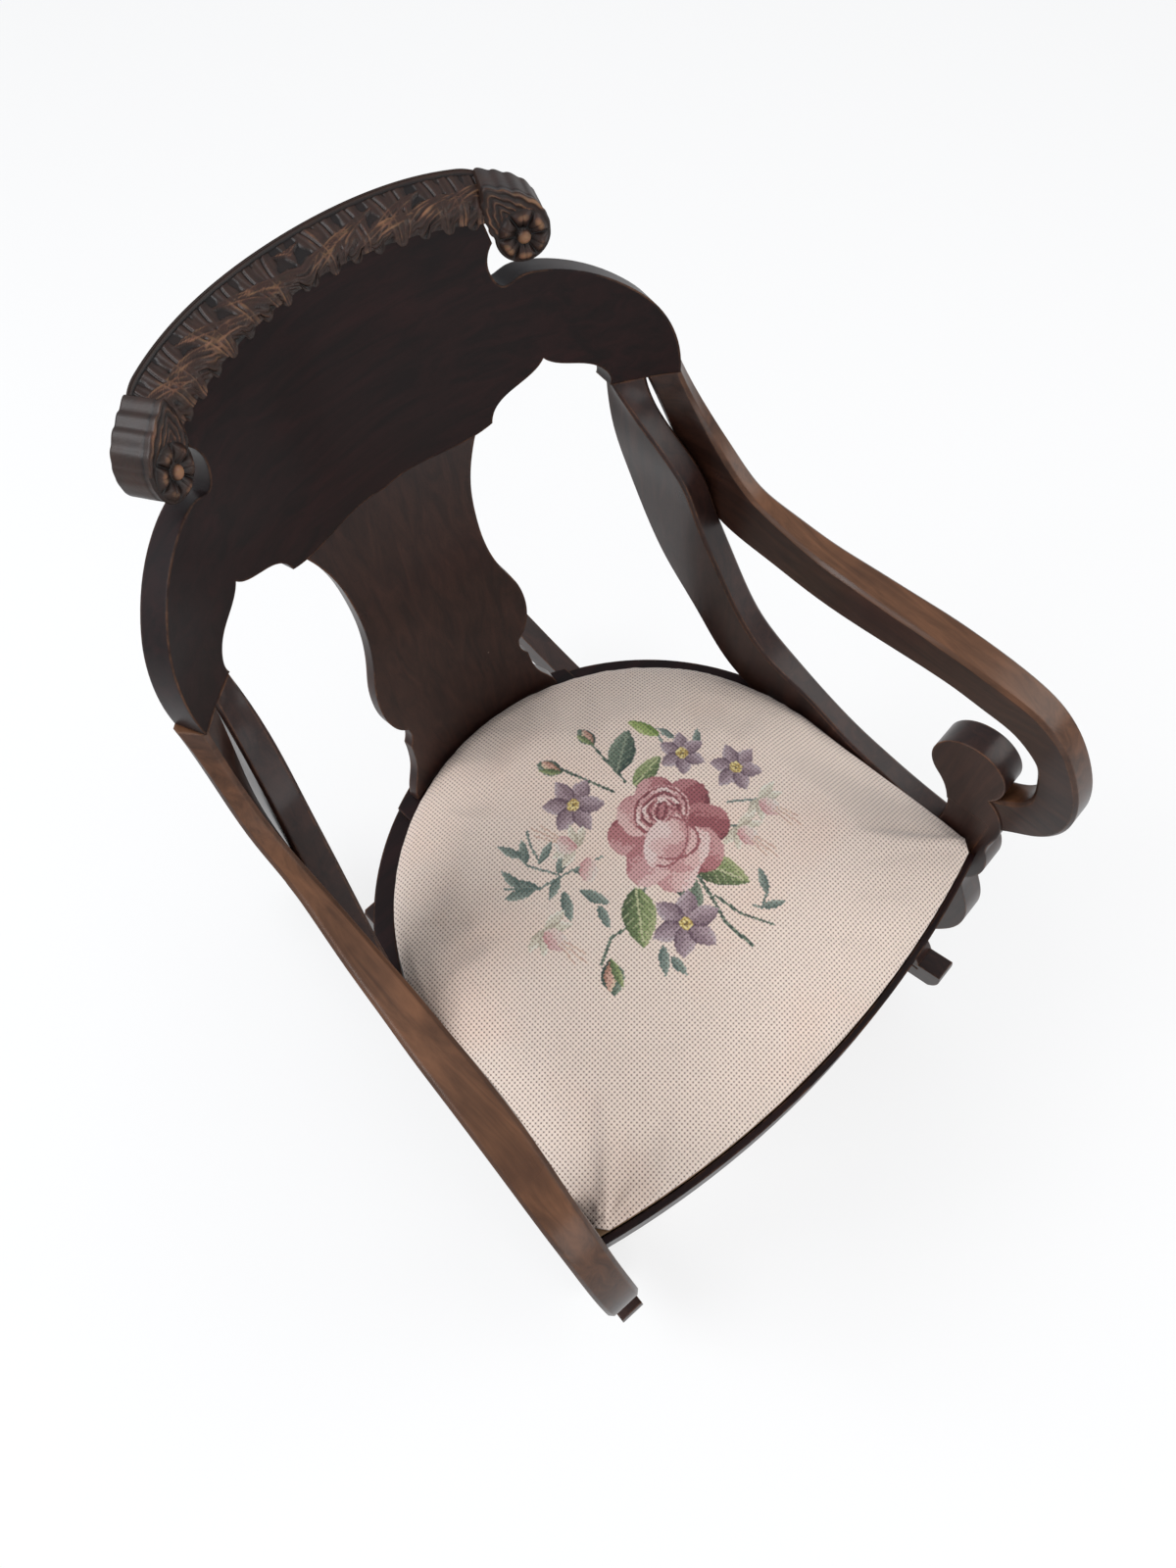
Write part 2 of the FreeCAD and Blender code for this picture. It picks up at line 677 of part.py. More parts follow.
def coil_gap():
    """Least clear distance between one turn of a coil and the next, measured on points."""
    r = coil_radius - wire_radius
    height = upper_seat_z - lower_seat_z - 2 * wire_radius
    steps = 48
    points = []
    for i in range(coil_turns * steps + 1):
        a = 2 * math.pi * i / steps
        points.append(V(r * math.cos(a), r * math.sin(a), height * i / (coil_turns * steps)))
    gaps = [(a - b).Length for i, a in enumerate(points) for b in points[i + steps // 2:]]
    return min(gaps) - 2 * wire_radius


def eight_sided(radius, length, start):
    """Eight-sided peg along X."""
    turns = [math.radians(22.5 + 45 * k) for k in range(9)]
    ring = Part.makePolygon([start + V(0, radius * math.cos(a), radius * math.sin(a)) for a in turns])
    return Part.Face(ring).extrude(V(length, 0, 0))


def screws(shelf_z, down):
    """Three screws that hold each bracket's flange to the board beside it."""
    inner = plane_x - board
    z = shelf_z - 13
    group = []
    for y in (axis_y - bracket_half + 14, axis_y, axis_y + bracket_half - 14):
        shank = eight_sided(screw_radius, 14, V(inner - plate, y, z))
        head = eight_sided(screw_head, 2.4, V(inner - plate - 2.4, y, z))
        group.append(shank.fuse(head).removeSplitter())
    group = Part.makeCompound(group)
    group.rotate(V(plane_x, 0, 0), V(0, 0, 1), math.degrees(toe_in))
    return group


def crest_dowels():
    """Dowels that hold each end of the crest to its stile and arm."""
    pins = []
    way = V(joint_out[0] - joint_in[0], 0, joint_out[1] - joint_in[1])
    for share in (0.27, 0.73):
        x = joint_in[0] + way.x * share
        z = joint_in[1] + way.z * share
        middle = V(x + 7, crest_front(x, z) + 10, z)
        along = V(-0.17, 0.35, 0.92).normalize()
        pins.append(Part.makeCylinder(dowel_radius, dowel_length, middle - along * dowel_length / 2, along))
    return both(Part.makeCompound(pins))


def build():
    crest = crest_rail()
    leg = front_leg()
    stile = solid(side_frame().cut(crest).cut(leg))
    right_arm = solid(arm().cut(crest).cut(stile).cut(leg))
    pegs = crest_dowels()
    base_bars = {"front_base_stretcher": base_stretcher(base_front + 60),
                 "rear_base_stretcher": base_stretcher(base_back - rear_stretcher_inset)}
    cross_bars = {"front_cross_rail": body_stretcher(-215), "rear_cross_rail": body_stretcher(150)}
    low_screws = screws(lower_seat_z, True)
    high_screws = screws(upper_seat_z, False)
    pairs = {
        "side_frame": stile.cut(pegs), "arm": right_arm.cut(pegs), "front_leg": leg, "rear_leg": rear_leg(),
        "runner": runner().cut(Part.makeCompound(list(cross_bars.values()))).cut(high_screws),
        "base_rail": base_rail().cut(Part.makeCompound(list(base_bars.values()))).cut(low_screws),
        "lower_bracket": bracket(lower_seat_z, True).cut(low_screws),
        "upper_bracket": bracket(upper_seat_z, False).cut(high_screws),
    }
    nodes = {}
    for name, shape in pairs.items():
        nodes["right_" + name] = mirrored(shape)
        nodes["left_" + name] = shape
    nodes.update(base_bars)
    nodes.update(cross_bars)
    nodes["crest_rail"] = crest.cut(pegs)
    nodes["crest_carving"] = crest_carving()
    nodes["crest_dowels"] = pegs
    nodes["splat"] = splat()
    nodes["rear_rail"] = rear_rail()
    nodes["front_rail"] = front_rail()
    nodes["splat_shoe"] = splat_shoe()
    nodes["seat_ledgers"] = seat_ledgers()
    nodes["seat_frame"] = seat_frame()
    nodes["webbing"] = webbing()
    nodes["seat_cushion"] = cushion()
    nodes["feet"] = feet()
    nodes["lower_screws"] = both(low_screws)
    nodes["upper_screws"] = both(high_screws)
    nodes["springs"] = both(Part.makeCompound([coil(axis_y - coil_spread), coil(axis_y + coil_spread)]))
    print("least gap between turns of a coil, mm:", round(coil_gap(), 2))
    return nodes


os.makedirs("parts", exist_ok=True)
for node_name, node_shape in build().items():
    node_shape.exportStep("parts/" + node_name + ".step")
    print(node_name, len(node_shape.Solids), round(node_shape.Volume / 1000, 1), node_shape.isValid())
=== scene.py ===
import math
import bpy
import bmesh
import numpy as np
from mathutils import Matrix, Vector, noise
from mathutils.bvhtree import BVHTree


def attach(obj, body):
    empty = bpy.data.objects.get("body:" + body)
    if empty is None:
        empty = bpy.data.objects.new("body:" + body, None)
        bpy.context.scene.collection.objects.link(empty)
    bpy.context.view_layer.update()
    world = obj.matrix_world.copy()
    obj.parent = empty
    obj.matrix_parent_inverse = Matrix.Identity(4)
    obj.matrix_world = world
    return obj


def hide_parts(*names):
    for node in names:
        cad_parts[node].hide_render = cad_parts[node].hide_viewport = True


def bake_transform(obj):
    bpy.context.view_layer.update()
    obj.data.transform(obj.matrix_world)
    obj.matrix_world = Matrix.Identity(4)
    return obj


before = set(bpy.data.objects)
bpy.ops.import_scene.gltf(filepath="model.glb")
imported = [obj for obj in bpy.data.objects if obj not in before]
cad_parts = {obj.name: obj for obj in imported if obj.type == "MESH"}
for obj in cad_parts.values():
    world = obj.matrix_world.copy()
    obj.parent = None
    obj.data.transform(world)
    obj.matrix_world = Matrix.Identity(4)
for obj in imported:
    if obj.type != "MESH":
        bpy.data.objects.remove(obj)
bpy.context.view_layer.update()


# The photograph's view: taken standing over the seat with a phone held askew,
# so the camera is turned nearly a quarter and looks steeply down.
level_right = Vector((0.95798, -0.04604, 0.28311))
level_down = Vector((0.04147, -0.95443, -0.29554))
ahead = Vector((0.28382, 0.29486, -0.91242))
askew_cos, askew_sin = 0.71934, 0.69466
picture_right = askew_cos * level_right + askew_sin * level_down
picture_down = -askew_sin * level_right + askew_cos * level_down
phone_place = Vector((-0.28742, -0.31899, 1.47949))
sensor_height, focal_pixels, picture_height = 36.0, 1160.0, 1600.0

camera_data = bpy.data.cameras.new("camera")
camera_data.sensor_fit = "VERTICAL"
camera_data.sensor_height = sensor_height
camera_data.lens = sensor_height * focal_pixels / picture_height
camera_data.clip_end = 60.0
camera = bpy.data.objects.new("camera", camera_data)
bpy.context.scene.collection.objects.link(camera)
turned = Matrix((picture_right, -picture_down, -ahead)).transposed().to_4x4()
camera.matrix_world = Matrix.Translation(phone_place) @ turned
bpy.context.scene.camera = camera
bpy.context.scene.view_settings.view_transform = "Standard"


# Studio: a plain pale floor that glows a little to the camera and in reflections,
# a wide soft light above the sitter's right shoulder, a weaker one opposite and
# one in front, in a pale room.
def mesh_object(name, vertices, faces):
    """Smooth object at the origin from points and faces."""
    mesh = bpy.data.meshes.new(name)
    mesh.from_pydata([tuple(v) for v in vertices], [], faces)
    mesh.update()
    mesh.polygons.foreach_set("use_smooth", [True] * len(mesh.polygons))
    made = bpy.data.objects.new(name, mesh)
    bpy.context.scene.collection.objects.link(made)
    return made


def node_material(name):
    """New node material, its node tree and its Principled shader."""
    material = bpy.data.materials.new(name)
    material.use_nodes = True
    return material, material.node_tree, material.node_tree.nodes["Principled BSDF"]


def feed(tree, socket, value):
    """Link a socket to an output, or give it a number or a colour."""
    if hasattr(value, "is_output"):
        tree.links.new(value, socket)
    else:
        socket.default_value = value


def calculate(tree, how, *values):
    """A sum on outputs or numbers."""
    node = tree.nodes.new("ShaderNodeMath")
    node.operation = how
    for socket, value in zip(node.inputs, values):
        feed(tree, socket, value)
    return node.outputs[0]


floor = mesh_object("studio_floor", [(-9, -9, 0), (9, -9, 0), (9, 9, 0), (-9, 9, 0)], [(0, 1, 2, 3)])
paper, tree, shader = node_material("studio_paper")
shader.inputs["Base Color"].default_value = (0.93, 0.93, 0.93, 1)
shader.inputs["Roughness"].default_value = 0.9
shader.inputs["Specular IOR Level"].default_value = 0.1
paper_grain = tree.nodes.new("ShaderNodeTexNoise")
paper_grain.inputs["Scale"].default_value = 600.0
paper_bump = tree.nodes.new("ShaderNodeBump")
paper_bump.inputs["Strength"].default_value = 0.02
tree.links.new(paper_grain.outputs["Fac"], paper_bump.inputs["Height"])
tree.links.new(paper_bump.outputs["Normal"], shader.inputs["Normal"])
glow = tree.nodes.new("ShaderNodeEmission")
glow.inputs["Color"].default_value = (1, 1, 1, 1)
glow.inputs["Strength"].default_value = 1.0
ray = tree.nodes.new("ShaderNodeLightPath")
seen = calculate(tree, "MAXIMUM", ray.outputs["Is Camera Ray"], ray.outputs["Is Glossy Ray"])
glow_share = calculate(tree, "MULTIPLY", seen, 0.72)
glowing_paper = tree.nodes.new("ShaderNodeMixShader")
tree.links.new(glow_share, glowing_paper.inputs["Fac"])
tree.links.new(shader.outputs[0], glowing_paper.inputs[1])
tree.links.new(glow.outputs[0], glowing_paper.inputs[2])
tree.links.new(glowing_paper.outputs[0], tree.nodes["Material Output"].inputs["Surface"])
floor.data.materials.append(paper)

room = bpy.data.worlds.new("studio_room")
bpy.context.scene.world = room
room.use_nodes = True
room.node_tree.nodes["Background"].inputs["Color"].default_value = (0.92, 0.95, 1.0, 1)
room.node_tree.nodes["Background"].inputs["Strength"].default_value = 0.62
chair_middle = Vector((0, 0, 0.5))
for name, place, size, power, tint in (
    ("window_light", (-1.5, 1.1, 2.6), 1.5, 46, (0.95, 0.97, 1.0)),
    ("fill_light", (1.7, -1.3, 2.3), 1.6, 20, (1.0, 0.98, 0.95)),
    ("front_light", (-0.4, -2.4, 1.5), 1.4, 11, (1.0, 1.0, 1.0)),
):
    lamp = bpy.data.lights.new(name, "AREA")
    lamp.size = size
    lamp.energy = power
    lamp.color = tint
    stand = bpy.data.objects.new(name, lamp)
    aim = (chair_middle - Vector(place)).to_track_quat("-Z", "Y").to_matrix().to_4x4()
    stand.matrix_world = Matrix.Translation(place) @ aim
    bpy.context.scene.collection.objects.link(stand)


# Mahogany frame: back stiles, scroll arms, cut legs, rails and rockers, joined
# with dowels and glue. Dark red stain under shellac, rubbed through to warm
# brown on the arms and along the arrises, with a few pale nicks.
black, white = (0, 0, 0), (1, 1, 1)


def object_place(tree, stretch=None):
    """Object coordinates, stretched by a factor on each axis where one is given."""
    place = tree.nodes.new("ShaderNodeTexCoord").outputs["Object"]
    if stretch is None:
        return place
    mapping = tree.nodes.new("ShaderNodeMapping")
    mapping.inputs["Scale"].default_value = stretch
    tree.links.new(place, mapping.inputs["Vector"])
    return mapping.outputs["Vector"]


def noise_at(tree, place, scale, detail=2.0, roughness=0.5, distortion=0.0):
    """Noise from 0 to 1 at a place."""
    node = tree.nodes.new("ShaderNodeTexNoise")
    tree.links.new(place, node.inputs["Vector"])
    node.inputs["Scale"].default_value = scale
    node.inputs["Detail"].default_value = detail
    node.inputs["Roughness"].default_value = roughness
    node.inputs["Distortion"].default_value = distortion
    return node.outputs["Fac"]


def ramp(tree, source, low, high, first=black, last=white):
    """Colour that runs from the first to the last as the source goes from low to high."""
    node = tree.nodes.new("ShaderNodeValToRGB")
    node.color_ramp.elements[0].position = low
    node.color_ramp.elements[1].position = high
    node.color_ramp.elements[0].color = (*first, 1)
    node.color_ramp.elements[1].color = (*last, 1)
    tree.links.new(source, node.inputs["Fac"])
    return node.outputs["Color"]


def mix(tree, factor, first, second, how="MIX"):
    """Two colours blended."""
    node = tree.nodes.new("ShaderNodeMix")
    node.data_type = "RGBA"
    node.blend_type = how
    feed(tree, node.inputs[0], factor)
    feed(tree, node.inputs[6], first)
    feed(tree, node.inputs[7], second)
    return node.outputs[2]


def spread(tree, source, low, high, start=0.0, end=1.0):
    """Number that runs from low to high as the source goes from start to end."""
    node = tree.nodes.new("ShaderNodeMapRange")
    node.inputs["From Min"].default_value = start
    node.inputs["From Max"].default_value = end
    node.inputs["To Min"].default_value = low
    node.inputs["To Max"].default_value = high
    tree.links.new(source, node.inputs["Value"])
    return node.outputs["Result"]


def emboss(tree, shader, height, strength, distance, normal=None):
    """Fine relief on a surface, over another normal where one is given."""
    bump = tree.nodes.new("ShaderNodeBump")
    bump.inputs["Strength"].default_value = strength
    bump.inputs["Distance"].default_value = distance
    tree.links.new(height, bump.inputs["Height"])
    if normal is not None:
        tree.links.new(normal, bump.inputs["Normal"])
    tree.links.new(bump.outputs["Normal"], shader.inputs["Normal"])


def mahogany(name, along, deep, lit, rubbed, worn_top=0.0, gloss=0.26, polish=0.30):
    """Polished mahogany whose grain runs along one axis, with its sharp edges rubbed."""
    material, tree, shader = node_material(name)
    place = object_place(tree)
    along_figure = object_place(tree, [7 if k == along else 70 for k in range(3)])
    along_pores = object_place(tree, [60 if k == along else 1500 for k in range(3)])
    figure = noise_at(tree, along_figure, 1.0, 6.0, 0.62, 1.1)
    pores = noise_at(tree, along_pores, 1.0)
    cloud = noise_at(tree, place, 9.0, 4.0, 0.6)
    patchy = noise_at(tree, place, 38.0, 5.0, 0.7)

    colour = ramp(tree, figure, 0.36, 0.70, deep, lit)
    in_pore = ramp(tree, pores, 0.30, 0.44, (0.55, 0.55, 0.55), black)
    colour = mix(tree, in_pore, colour, (0.006, 0.004, 0.003, 1))
    in_shade = ramp(tree, cloud, 0.38, 0.66, (0.25, 0.25, 0.25), black)
    colour = mix(tree, in_shade, colour, (*deep, 1))

    # The arrises: where the rounded normal turns away from the flat one.
    rounded = tree.nodes.new("ShaderNodeBevel")
    rounded.samples = 4
    rounded.inputs["Radius"].default_value = 0.0028
    surface = tree.nodes.new("ShaderNodeNewGeometry")
    agreement = tree.nodes.new("ShaderNodeVectorMath")
    agreement.operation = "DOT_PRODUCT"
    tree.links.new(rounded.outputs["Normal"], agreement.inputs[0])
    tree.links.new(surface.outputs["Normal"], agreement.inputs[1])
    arris = ramp(tree, agreement.outputs["Value"], 0.80, 0.985, white, black)
    arris = mix(tree, 1.0, arris, ramp(tree, patchy, 0.40, 0.62), "MULTIPLY")
    colour = mix(tree, arris, colour, (*rubbed, 1))

    if worn_top:
        facing = tree.nodes.new("ShaderNodeSeparateXYZ")
        tree.links.new(surface.outputs["Normal"], facing.inputs[0])
        top = ramp(tree, facing.outputs["Z"], 0.25, 0.90, black, (worn_top, worn_top, worn_top))
        top = mix(tree, 1.0, top, ramp(tree, cloud, 0.12, 0.48), "MULTIPLY")
        warm = ramp(tree, figure, 0.34, 0.68, [0.45 * c for c in rubbed], rubbed)
        colour = mix(tree, top, colour, warm)

    nick = tree.nodes.new("ShaderNodeTexVoronoi")
    nick.inputs["Scale"].default_value = 46.0
    tree.links.new(object_place(tree, (1.0, 1.7, 0.55)), nick.inputs["Vector"])
    chips = ramp(tree, nick.outputs["Distance"], 0.035, 0.06, white, black)
    chips = mix(tree, 1.0, chips, ramp(tree, patchy, 0.60, 0.68), "MULTIPLY")
    colour = mix(tree, chips, colour, (0.36, 0.27, 0.21, 1))

    tree.links.new(colour, shader.inputs["Base Color"])
    tree.links.new(spread(tree, cloud, gloss - 0.06, gloss + 0.20), shader.inputs["Roughness"])
    shader.inputs["Specular IOR Level"].default_value = polish
    shader.inputs["Coat Weight"].default_value = 0.3 * polish
    shader.inputs["Coat Roughness"].default_value = 0.14
    emboss(tree, shader, figure, 0.16, 0.0006, rounded.outputs["Normal"])
    return material


def dress(material, *names):
    """Give CAD pieces their material."""
    for name in names:
        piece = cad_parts[name]
        piece.data.materials.clear()
        piece.data.materials.append(material)


across_x, front_to_back, upright = 0, 1, 2
stained = dict(deep=(0.014, 0.0055, 0.0045), lit=(0.042, 0.016, 0.011), rubbed=(0.24, 0.10, 0.045))
darkest = dict(deep=(0.0070, 0.0030, 0.0032), lit=(0.020, 0.0058, 0.0058), rubbed=(0.20, 0.09, 0.045))
handled = dict(deep=(0.014, 0.0055, 0.0036), lit=(0.045, 0.017, 0.010), rubbed=(0.190, 0.082, 0.038))
dress(mahogany("mahogany_upright", upright, **stained),
      "left_side_frame", "right_side_frame", "left_front_leg", "right_front_leg",
      "left_rear_leg", "right_rear_leg", "splat")
dress(mahogany("mahogany_crest", across_x, **darkest, gloss=0.34, polish=0.16),
      "crest_rail", "rear_rail", "splat_shoe", "front_rail")
dress(mahogany("mahogany_front_to_back", front_to_back, **stained),
      "left_runner", "right_runner", "left_base_rail", "right_base_rail")
dress(mahogany("mahogany_arm", front_to_back, **handled, worn_top=0.85, gloss=0.24),
      "left_arm", "right_arm")


# Hidden timber: plain birch stretchers, ledger strips, the loose seat frame and
# the dowels, left from the plane with a thin brown wash.
washed = dict(deep=(0.20, 0.115, 0.055), lit=(0.34, 0.21, 0.115), rubbed=(0.42, 0.29, 0.17))
dress(mahogany("birch_wash", across_x, **washed, gloss=0.55),
      "front_base_stretcher", "rear_base_stretcher", "front_cross_rail", "rear_cross_rail",
      "seat_ledgers", "seat_frame", "crest_dowels")


# Rocking gear: dark oiled steel angles, dull screws and turned hardwood feet.
def worn_metal(name, bright, dull, rough):
    """Handled steel with darker patches and a little rust."""
    material, tree, shader = node_material(name)
    patch = noise_at(tree, object_place(tree), 60.0, 6.0)
    tree.links.new(ramp(tree, patch, 0.35, 0.68, dull, bright), shader.inputs["Base Color"])
    tree.links.new(spread(tree, patch, rough + 0.2, rough - 0.08), shader.inputs["Roughness"])
    shader.inputs["Metallic"].default_value = 0.9
    emboss(tree, shader, patch, 0.15, 0.0003)
    return material


dress(worn_metal("oiled_plate", (0.16, 0.155, 0.15), (0.05, 0.036, 0.028), 0.42),
      "left_upper_bracket", "left_lower_bracket", "right_upper_bracket", "right_lower_bracket")
dress(worn_metal("dull_screw", (0.42, 0.40, 0.37), (0.16, 0.12, 0.09), 0.36), "upper_screws", "lower_screws")
turned_wood = dict(deep=(0.012, 0.006, 0.005), lit=(0.040, 0.018, 0.012), rubbed=(0.20, 0.10, 0.05))
dress(mahogany("turned_foot", upright, **turned_wood, gloss=0.4), "feet")


# Coil springs: four upright coils of oiled wire that hold the chair to its
# base and bring it back to rest. Each coil is one length of wire.
coil_radius, wire_radius, coil_turns = 0.014, 0.002, 4
coil_foot, coil_height = 0.042, 0.060
runner_x, toe = 0.254, math.radians(4.28)
spring_in, hinge_y, spring_apart = 0.054, -0.085, 0.044
wire_steps, wire_sides = coil_turns * 40, 10
points, faces = [], []
for side in (1, -1):
    for offset in (-spring_apart, spring_apart):
        foot_y = hinge_y + offset
        centre_x = runner_x - spring_in * math.cos(toe) - foot_y * math.sin(toe)
        centre_y = -spring_in * math.sin(toe) + foot_y * math.cos(toe)
        first = len(points)
        for i in range(wire_steps + 1):
            turn = 2 * math.pi * coil_turns * i / wire_steps
            out = Vector((math.cos(turn), math.sin(turn), 0))
            middle = Vector((0, 0, coil_foot + coil_height * i / wire_steps)) + out * coil_radius
            for k in range(wire_sides):
                a = 2 * math.pi * k / wire_sides
                p = middle + out * (math.cos(a) * wire_radius) + Vector((0, 0, math.sin(a) * wire_radius))
                points.append(((centre_x + p.x) * side, centre_y + p.y, p.z))
        coil = []
        for row in range(first, first + wire_steps * wire_sides, wire_sides):
            for k in range(wire_sides):
                a, b = row + k, row + (k + 1) % wire_sides
                coil.append((a, b, b + wire_sides, a + wire_sides))
        coil.append(tuple(reversed(range(first, first + wire_sides))))
        coil.append(tuple(range(len(points) - wire_sides, len(points))))
        faces += [face[::-1] for face in coil] if side > 0 else coil
springs = mesh_object("coil_springs", points, faces)
springs.data.materials.append(worn_metal("spring_wire", (0.30, 0.29, 0.28), (0.09, 0.06, 0.045), 0.34))
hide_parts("springs")
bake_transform(springs)


# Seat webbing: jute bands tacked over the loose frame, four each way.
jute, tree, shader = node_material("jute_webbing")
place = object_place(tree)
threads = []
for direction in ("X", "Y"):
    thread = tree.nodes.new("ShaderNodeTexWave")
    thread.bands_direction = direction
    thread.inputs["Scale"].default_value = 420.0
    tree.links.new(place, thread.inputs["Vector"])
    threads.append(thread.outputs["Fac"])
weave = calculate(tree, "MULTIPLY", calculate(tree, "ADD", *threads), 0.5)
# Jute thread colour, with painted shade darkening the low gaps between the threads, taken from the same
# weave that makes the bump.
thread_colour_and_gap_shade = ramp(tree, weave, 0.0, 1.0, (0.10, 0.065, 0.035), (0.46, 0.34, 0.20))
tree.links.new(thread_colour_and_gap_shade, shader.inputs["Base Color"])
shader.inputs["Roughness"].default_value = 0.95
emboss(tree, shader, weave, 1.0, 0.0006)
bands = bmesh.new()
bands.from_mesh(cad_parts["webbing"].data)
bmesh.ops.remove_doubles(bands, verts=bands.verts, dist=1e-5)
bmesh.ops.dissolve_limit(bands, angle_limit=0.02, verts=bands.verts, edges=bands.edges)
bmesh.ops.triangulate(bands, faces=bands.faces)
band_mesh = bpy.data.meshes.new("seat_webbing")
bands.to_mesh(band_mesh)
bands.free()
webbing = bpy.data.objects.new("seat_webbing", band_mesh)
bpy.context.scene.collection.objects.link(webbing)
webbing.data.materials.append(jute)
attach(webbing, "chair")
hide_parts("webbing")


# Carved crest: a thick member glued along the top of the back, cut with
# overlapping pointed leaves, its ends rolled under to a six-petalled rosette.
# The high points are rubbed to tan wood and the ground is nearly black.
bend = 0.324                    # radius of the hollow of the back
face_y, face_z = 0.209, 0.760   # where the hollow's middle lies
lean = 0.172                    # backward slope of the back
proud = 0.003                   # how far the carving stands in front of the board


def back_face(x, z):
    """Y of the hollow front of the back at a place on it."""
    hollow = bend - math.sqrt(bend * bend - x * x)
    return face_y + lean * (z - face_z) - math.sqrt(1 + lean * lean) * hollow


leaf_pitch, row_shift = 17, 7   # mm between leaves, and from the front row to the back row
# Foot across the member, slope in degrees, length and half width of each row's leaves, in mm.
leaf_rows = ((-6, 60, 50, 8.5), (43, -58, 48, 8.0))
rib_depth, rib_turn = (0.13, 0.07), (1.9, 1.3)
ground_height = 0.12


def leaf_relief(along, across):
    """Height from 0 to 1 of leaves laid like shingles, mirrored about the middle; distances in mm."""
    best = ground_height
    along = abs(along)
    nearest = int(along // leaf_pitch) - 3
    for k in range(nearest, nearest + 6):
        for row, (foot, slope, length, half) in enumerate(leaf_rows):
            turn = math.radians(slope + 9 * math.sin(k * 2.4 + row * 1.3))
            dx, dy = along - leaf_pitch * k - row_shift * row, across - foot
            u = dx * math.cos(turn) + dy * math.sin(turn)
            w = dy * math.cos(turn) - dx * math.sin(turn) + 0.012 * u * u - 2
            if not 0 < u < length:
                continue
            share = u / length
            lobes = 1 + 0.13 * math.sin(share * 26 + (2 if w > 0 else 0))
            edge = half * math.sin(math.pi * share ** 0.7) ** 0.75 * lobes
            if abs(w) >= edge or edge < 0.3:
                continue
            rounding = math.sqrt(1 - (w / edge) ** 2)
            ribs = rib_depth[row] * math.cos(w * rib_turn[row] + 0.16 * u)
            spine = -0.35 * math.exp(-(w / 0.8) ** 2)
            height = (0.42 + 0.50 * share) * (0.40 + 0.60 * rounding)
            height += (ribs + spine) * (0.5 + 0.5 * rounding) * min(1, u / 6)
            best = max(best, height - 0.05 * (k % 2))
    return min(1.0, best)


band_half = 0.136
along_steps, across_steps = 560, 62
cut_depth = 0.0032
end_back, end_sink = 0.0040, 0.0022   # how far the ridge draws in at the rolled ends
# The section runs up the front face, round the front corner, back over the top and down.
face_end, corner_end, top_end = 0.22, 0.40, 0.90
face_mm, corner_mm, top_mm = 7, 8, 25
leaves_end, groove_start, groove_end = 35.5, 35.0, 36.5
up = Vector((0, 0, 1))
carved_points, carved_faces, carved_height = [], [], []
for i in range(along_steps + 1):
    share = -1 + 2 * i / along_steps
    x = band_half * share
    low = 0.939 - 0.013 * share ** 2
    high = 0.9465 - 0.009 * share ** 4
    turn = math.asin(x / bend)
    round_mm = abs(turn) * bend * 1000
    out = Vector((math.sin(turn), math.cos(turn), 0))
    leaf_tip = 0.0045 * max(0.0, math.cos((round_mm - 3) / leaf_pitch * 2 * math.pi)) ** 0.6
    front_low = Vector((x, back_face(x, low - leaf_tip), low - leaf_tip)) - out * proud
    front = Vector((x, back_face(x, low), low)) - out * proud
    top = front + out * (lean * (high - low)) + up * (high - low)
    ridge = top + out * 0.0325 + up * 0.0080
    end_fade = max(0.0, (abs(share) - 0.88) / 0.12) ** 2
    ridge -= out * (end_back * end_fade) + up * (end_sink * end_fade)
    back_low = Vector((ridge.x, ridge.y, low - 0.004))
    corner_low = front_low.lerp(top, 0.55)
    corner_high = top + (ridge - top) * 0.22
    for j in range(across_steps + 1):
        t = j / across_steps
        if t < face_end:
            f = t / face_end
            p, normal, across = front_low.lerp(corner_low, f), -out, f * face_mm
        elif t < corner_end:
            f = (t - face_end) / (corner_end - face_end)
            p = corner_low * (1 - f) ** 2 + top * (2 * f * (1 - f)) + corner_high * f ** 2
            normal = (up * f - out * (1 - f)).normalized()
            across = face_mm + f * corner_mm
        elif t < top_end:
            f = (t - corner_end) / (top_end - corner_end)
            p, normal = corner_high.lerp(ridge, f), up - out * 0.24
            across = face_mm + corner_mm + f * top_mm
        else:
            f = (t - top_end) / (1 - top_end)
            p, normal = ridge.lerp(back_low, f), out
            across = face_mm + corner_mm + top_mm
        if groove_start < across < groove_end:
            relief = 0.05
        elif across < leaves_end:
            relief = leaf_relief(round_mm, across)
        else:
            relief = 0.50
        depth = cut_depth * (1 - relief) * min(1.0, (t + 0.03) / 0.10)
        carved_points.append(p - normal * depth)
        carved_height.append(relief)
column = across_steps + 1
for i in range(along_steps):
    for a in range(i * column, i * column + across_steps):
        carved_faces.append((a, a + column, a + column + 1, a + 1))
    a = i * column
    carved_faces.append((a, a + across_steps, a + column + across_steps, a + column))
carved_faces.append(tuple(range(column)))
carved_faces.append(tuple(along_steps * column + j for j in reversed(range(column))))

# Rolled ends, each worked round its rosette. Points of the outline in mm: a neck that
# runs up into the band, closed below by the round of the roll.
eye_x, eye_z, roll_back = 0.1492, 0.9135, 0.029
roll_neck = [(20.0, 0), (19.3, 8), (15.8, 16), (8, 24.6), (-3, 30.6), (-13, 34.2), (-24, 37), (-26.5, 28),
             (-26.5, 18), (-24, 9)]
roll_round, petal_reach, eye_reach = 20.2, 18.3, 5.0
inward = Vector((eye_x, math.sqrt(bend * bend - eye_x * eye_x), -lean * bend)).normalized()
eye = Vector((eye_x, back_face(eye_x, eye_z), eye_z)) - inward * proud
outward = Vector((inward.y, -inward.x, 0)).normalized()
upward = outward.cross(inward)
if upward.z < 0:
    upward = -upward

